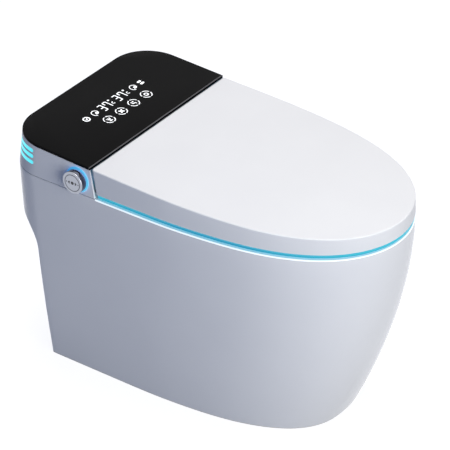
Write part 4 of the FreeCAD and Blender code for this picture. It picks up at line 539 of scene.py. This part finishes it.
underside_top, glow_foot, glow_top = 0.4017, 0.4030, 0.4072
strip_light = Finish("cyan light guide", {
    "Roughness": 0.3, "Emission Strength": 1.0, "Specular IOR Level": 0.1,
})
strip_y, strip_z = strip_light.along("Y"), strip_light.along("Z")
strip_rear = strip_light.ramp(strip_y, -0.06, 0.09)
strip_front = strip_light.ramp(strip_y, -0.20, -0.40)
strip_rise = strip_light.ramp(strip_z, glow_foot, glow_top, 0.6)
strip_under = strip_z < underside_top
strip_frost = strip_light.noise(0.02)
strip_blue = strip_light.mix(strip_rear, (0.010, 0.20, 0.37), (0.015, 0.34, 0.48))
strip_cyan = strip_light.mix(strip_front, strip_blue, (0.03, 0.42, 0.54))
strip_face = strip_light.mix(strip_rise, strip_cyan, (0.10, 0.60, 0.72))
strip_light.wear({
    "Base Color": strip_light.mix(strip_frost, (0.02, 0.10, 0.13), (0.03, 0.12, 0.16)),
    "Emission Color": strip_light.mix(strip_under, strip_face, (0.08, 0.55, 0.75)),
})
dress(strip_light, "seat_light_guide")


# Lid: a shallow shell with a flat top that falls a little to the front, a square upright edge and two
# lugs on the hinge line.
lid_white = gloss_white("lid white", (0.80, 0.81, 0.825), (0.84, 0.85, 0.86), 0.26)
dress(lid_white, "lid_shell")


# Studio: a pale floor under a wide sky. Both are white to the camera and in reflections. The floor's own
# shading is mixed in so that the toilet's shadow stays on it.
def outside(nodes):
    """1 for camera, glossy and transmission rays, and 0 for the rays that light the toilet."""
    camera_ray, glossy_ray, clear_ray = (
        nodes.node("LightPath", {}, {}, out=ray)
        for ray in ("Is Camera Ray", "Is Glossy Ray", "Is Transmission Ray"))
    mirrored = camera_ray.math("MAXIMUM", camera_ray, glossy_ray)
    return mirrored.math("MAXIMUM", mirrored, clear_ray)


world = bpy.data.worlds.new("studio")
world.use_nodes = True
bpy.context.scene.world = world
sky = Nodes(world.node_tree)
sky_dim = sky.node("Background", {}, {"Color": (0.50, 0.62, 1.0, 1.0), "Strength": 0.20})
sky_white = sky.node("Background", {}, {"Color": (1.0, 1.0, 1.0, 1.0), "Strength": 1.0})
sky_mix = sky.node("MixShader", {}, {0: outside(sky), 1: sky_dim, 2: sky_white})
sky.plug(sky.tree.nodes["World Output"], {"Surface": sky_mix})

floor_reach, floor_level = 9.0, -0.0002
floor_corners = [(x * floor_reach, y * floor_reach, floor_level)
                 for x, y in ((-1, -1), (1, -1), (1, 1), (-1, 1))]
floor_mesh = bpy.data.meshes.new("floor")
floor_mesh.from_pydata(floor_corners, [], [(0, 1, 2, 3)])
floor = bpy.data.objects.new("floor", floor_mesh)
bpy.context.scene.collection.objects.link(floor)
floor_paint = bpy.data.materials.new("pale floor")
floor_paint.use_nodes = True
floor_nodes = Nodes(floor_paint.node_tree)
floor_matt = floor_nodes.node("BsdfDiffuse", {}, {"Color": (0.19, 0.20, 0.24, 1.0)})
floor_shine = floor_nodes.node("Emission", {}, {"Strength": 0.90})
floor_seen = floor_nodes.node("AddShader", {}, {0: floor_matt, 1: floor_shine})
floor_mix = floor_nodes.node("MixShader", {}, {0: outside(floor_nodes), 1: floor_matt, 2: floor_seen})
floor_nodes.plug(floor_nodes.tree.nodes["Material Output"], {"Surface": floor_mix})
floor_mesh.materials.append(floor_paint)


# Lamps: a large soft key overhead, a fill from the user's right front, a weak cool one at that side, and
# one behind on the left.
def soft_lamp(name, place, target, size, power, colour):
    """A round lamp of that width in metres and power in watts, turned from its place to the target."""
    lamp = bpy.data.lights.new(name, "AREA")
    lamp.shape, lamp.size, lamp.energy, lamp.color = "DISK", size, power, colour
    made = bpy.data.objects.new(name, lamp)
    made.location = place
    made.rotation_euler = (made.location - Vector(target)).to_track_quat("Z", "Y").to_euler()
    bpy.context.scene.collection.objects.link(made)


over_seat, over_drain = (0.0, -0.1, 0.3), (0.0, 0.0, 0.3)
soft_lamp("key", (0.35, -0.1, 3.6), over_seat, 1.8, 75.0, (1.0, 0.95, 0.87))
soft_lamp("fill", (-1.45, -3.0, 1.3), over_seat, 2.5, 84.0, (1.0, 0.99, 0.95))
soft_lamp("cool", (-3.0, -1.0, 1.6), over_drain, 2.0, 9.0, (0.3, 0.5, 1.0))
soft_lamp("back", (2.3, 2.8, 0.7), over_drain, 1.2, 50.0, (0.95, 0.97, 1.0))


# Camera: from the user's right front, well above, with a long lens. A small shift and a slight roll set
# the toilet as it stands in the square picture.
camera_data = bpy.data.cameras.new("camera")
camera_data.sensor_width, camera_data.lens = 36.0, 200.2
camera_data.shift_x, camera_data.shift_y = -0.014, 0.0607
camera_data.clip_end = 50.0
camera = bpy.data.objects.new("camera", camera_data)
bpy.context.scene.collection.objects.link(camera)
azimuth, elevation, roll = (math.radians(turn) for turn in (-54.81, 33.58, 0.07))
distance, look_at = 4.412, np.array((0.0, -0.057, 0.240))
away = np.array((math.sin(azimuth) * math.cos(elevation), -math.cos(azimuth) * math.cos(elevation),
                 math.sin(elevation)))
camera.location = look_at + distance * away
camera.rotation_euler = (math.pi / 2 - elevation, roll, azimuth)
bpy.context.scene.camera = camera
bpy.context.scene.view_settings.view_transform = "Standard"
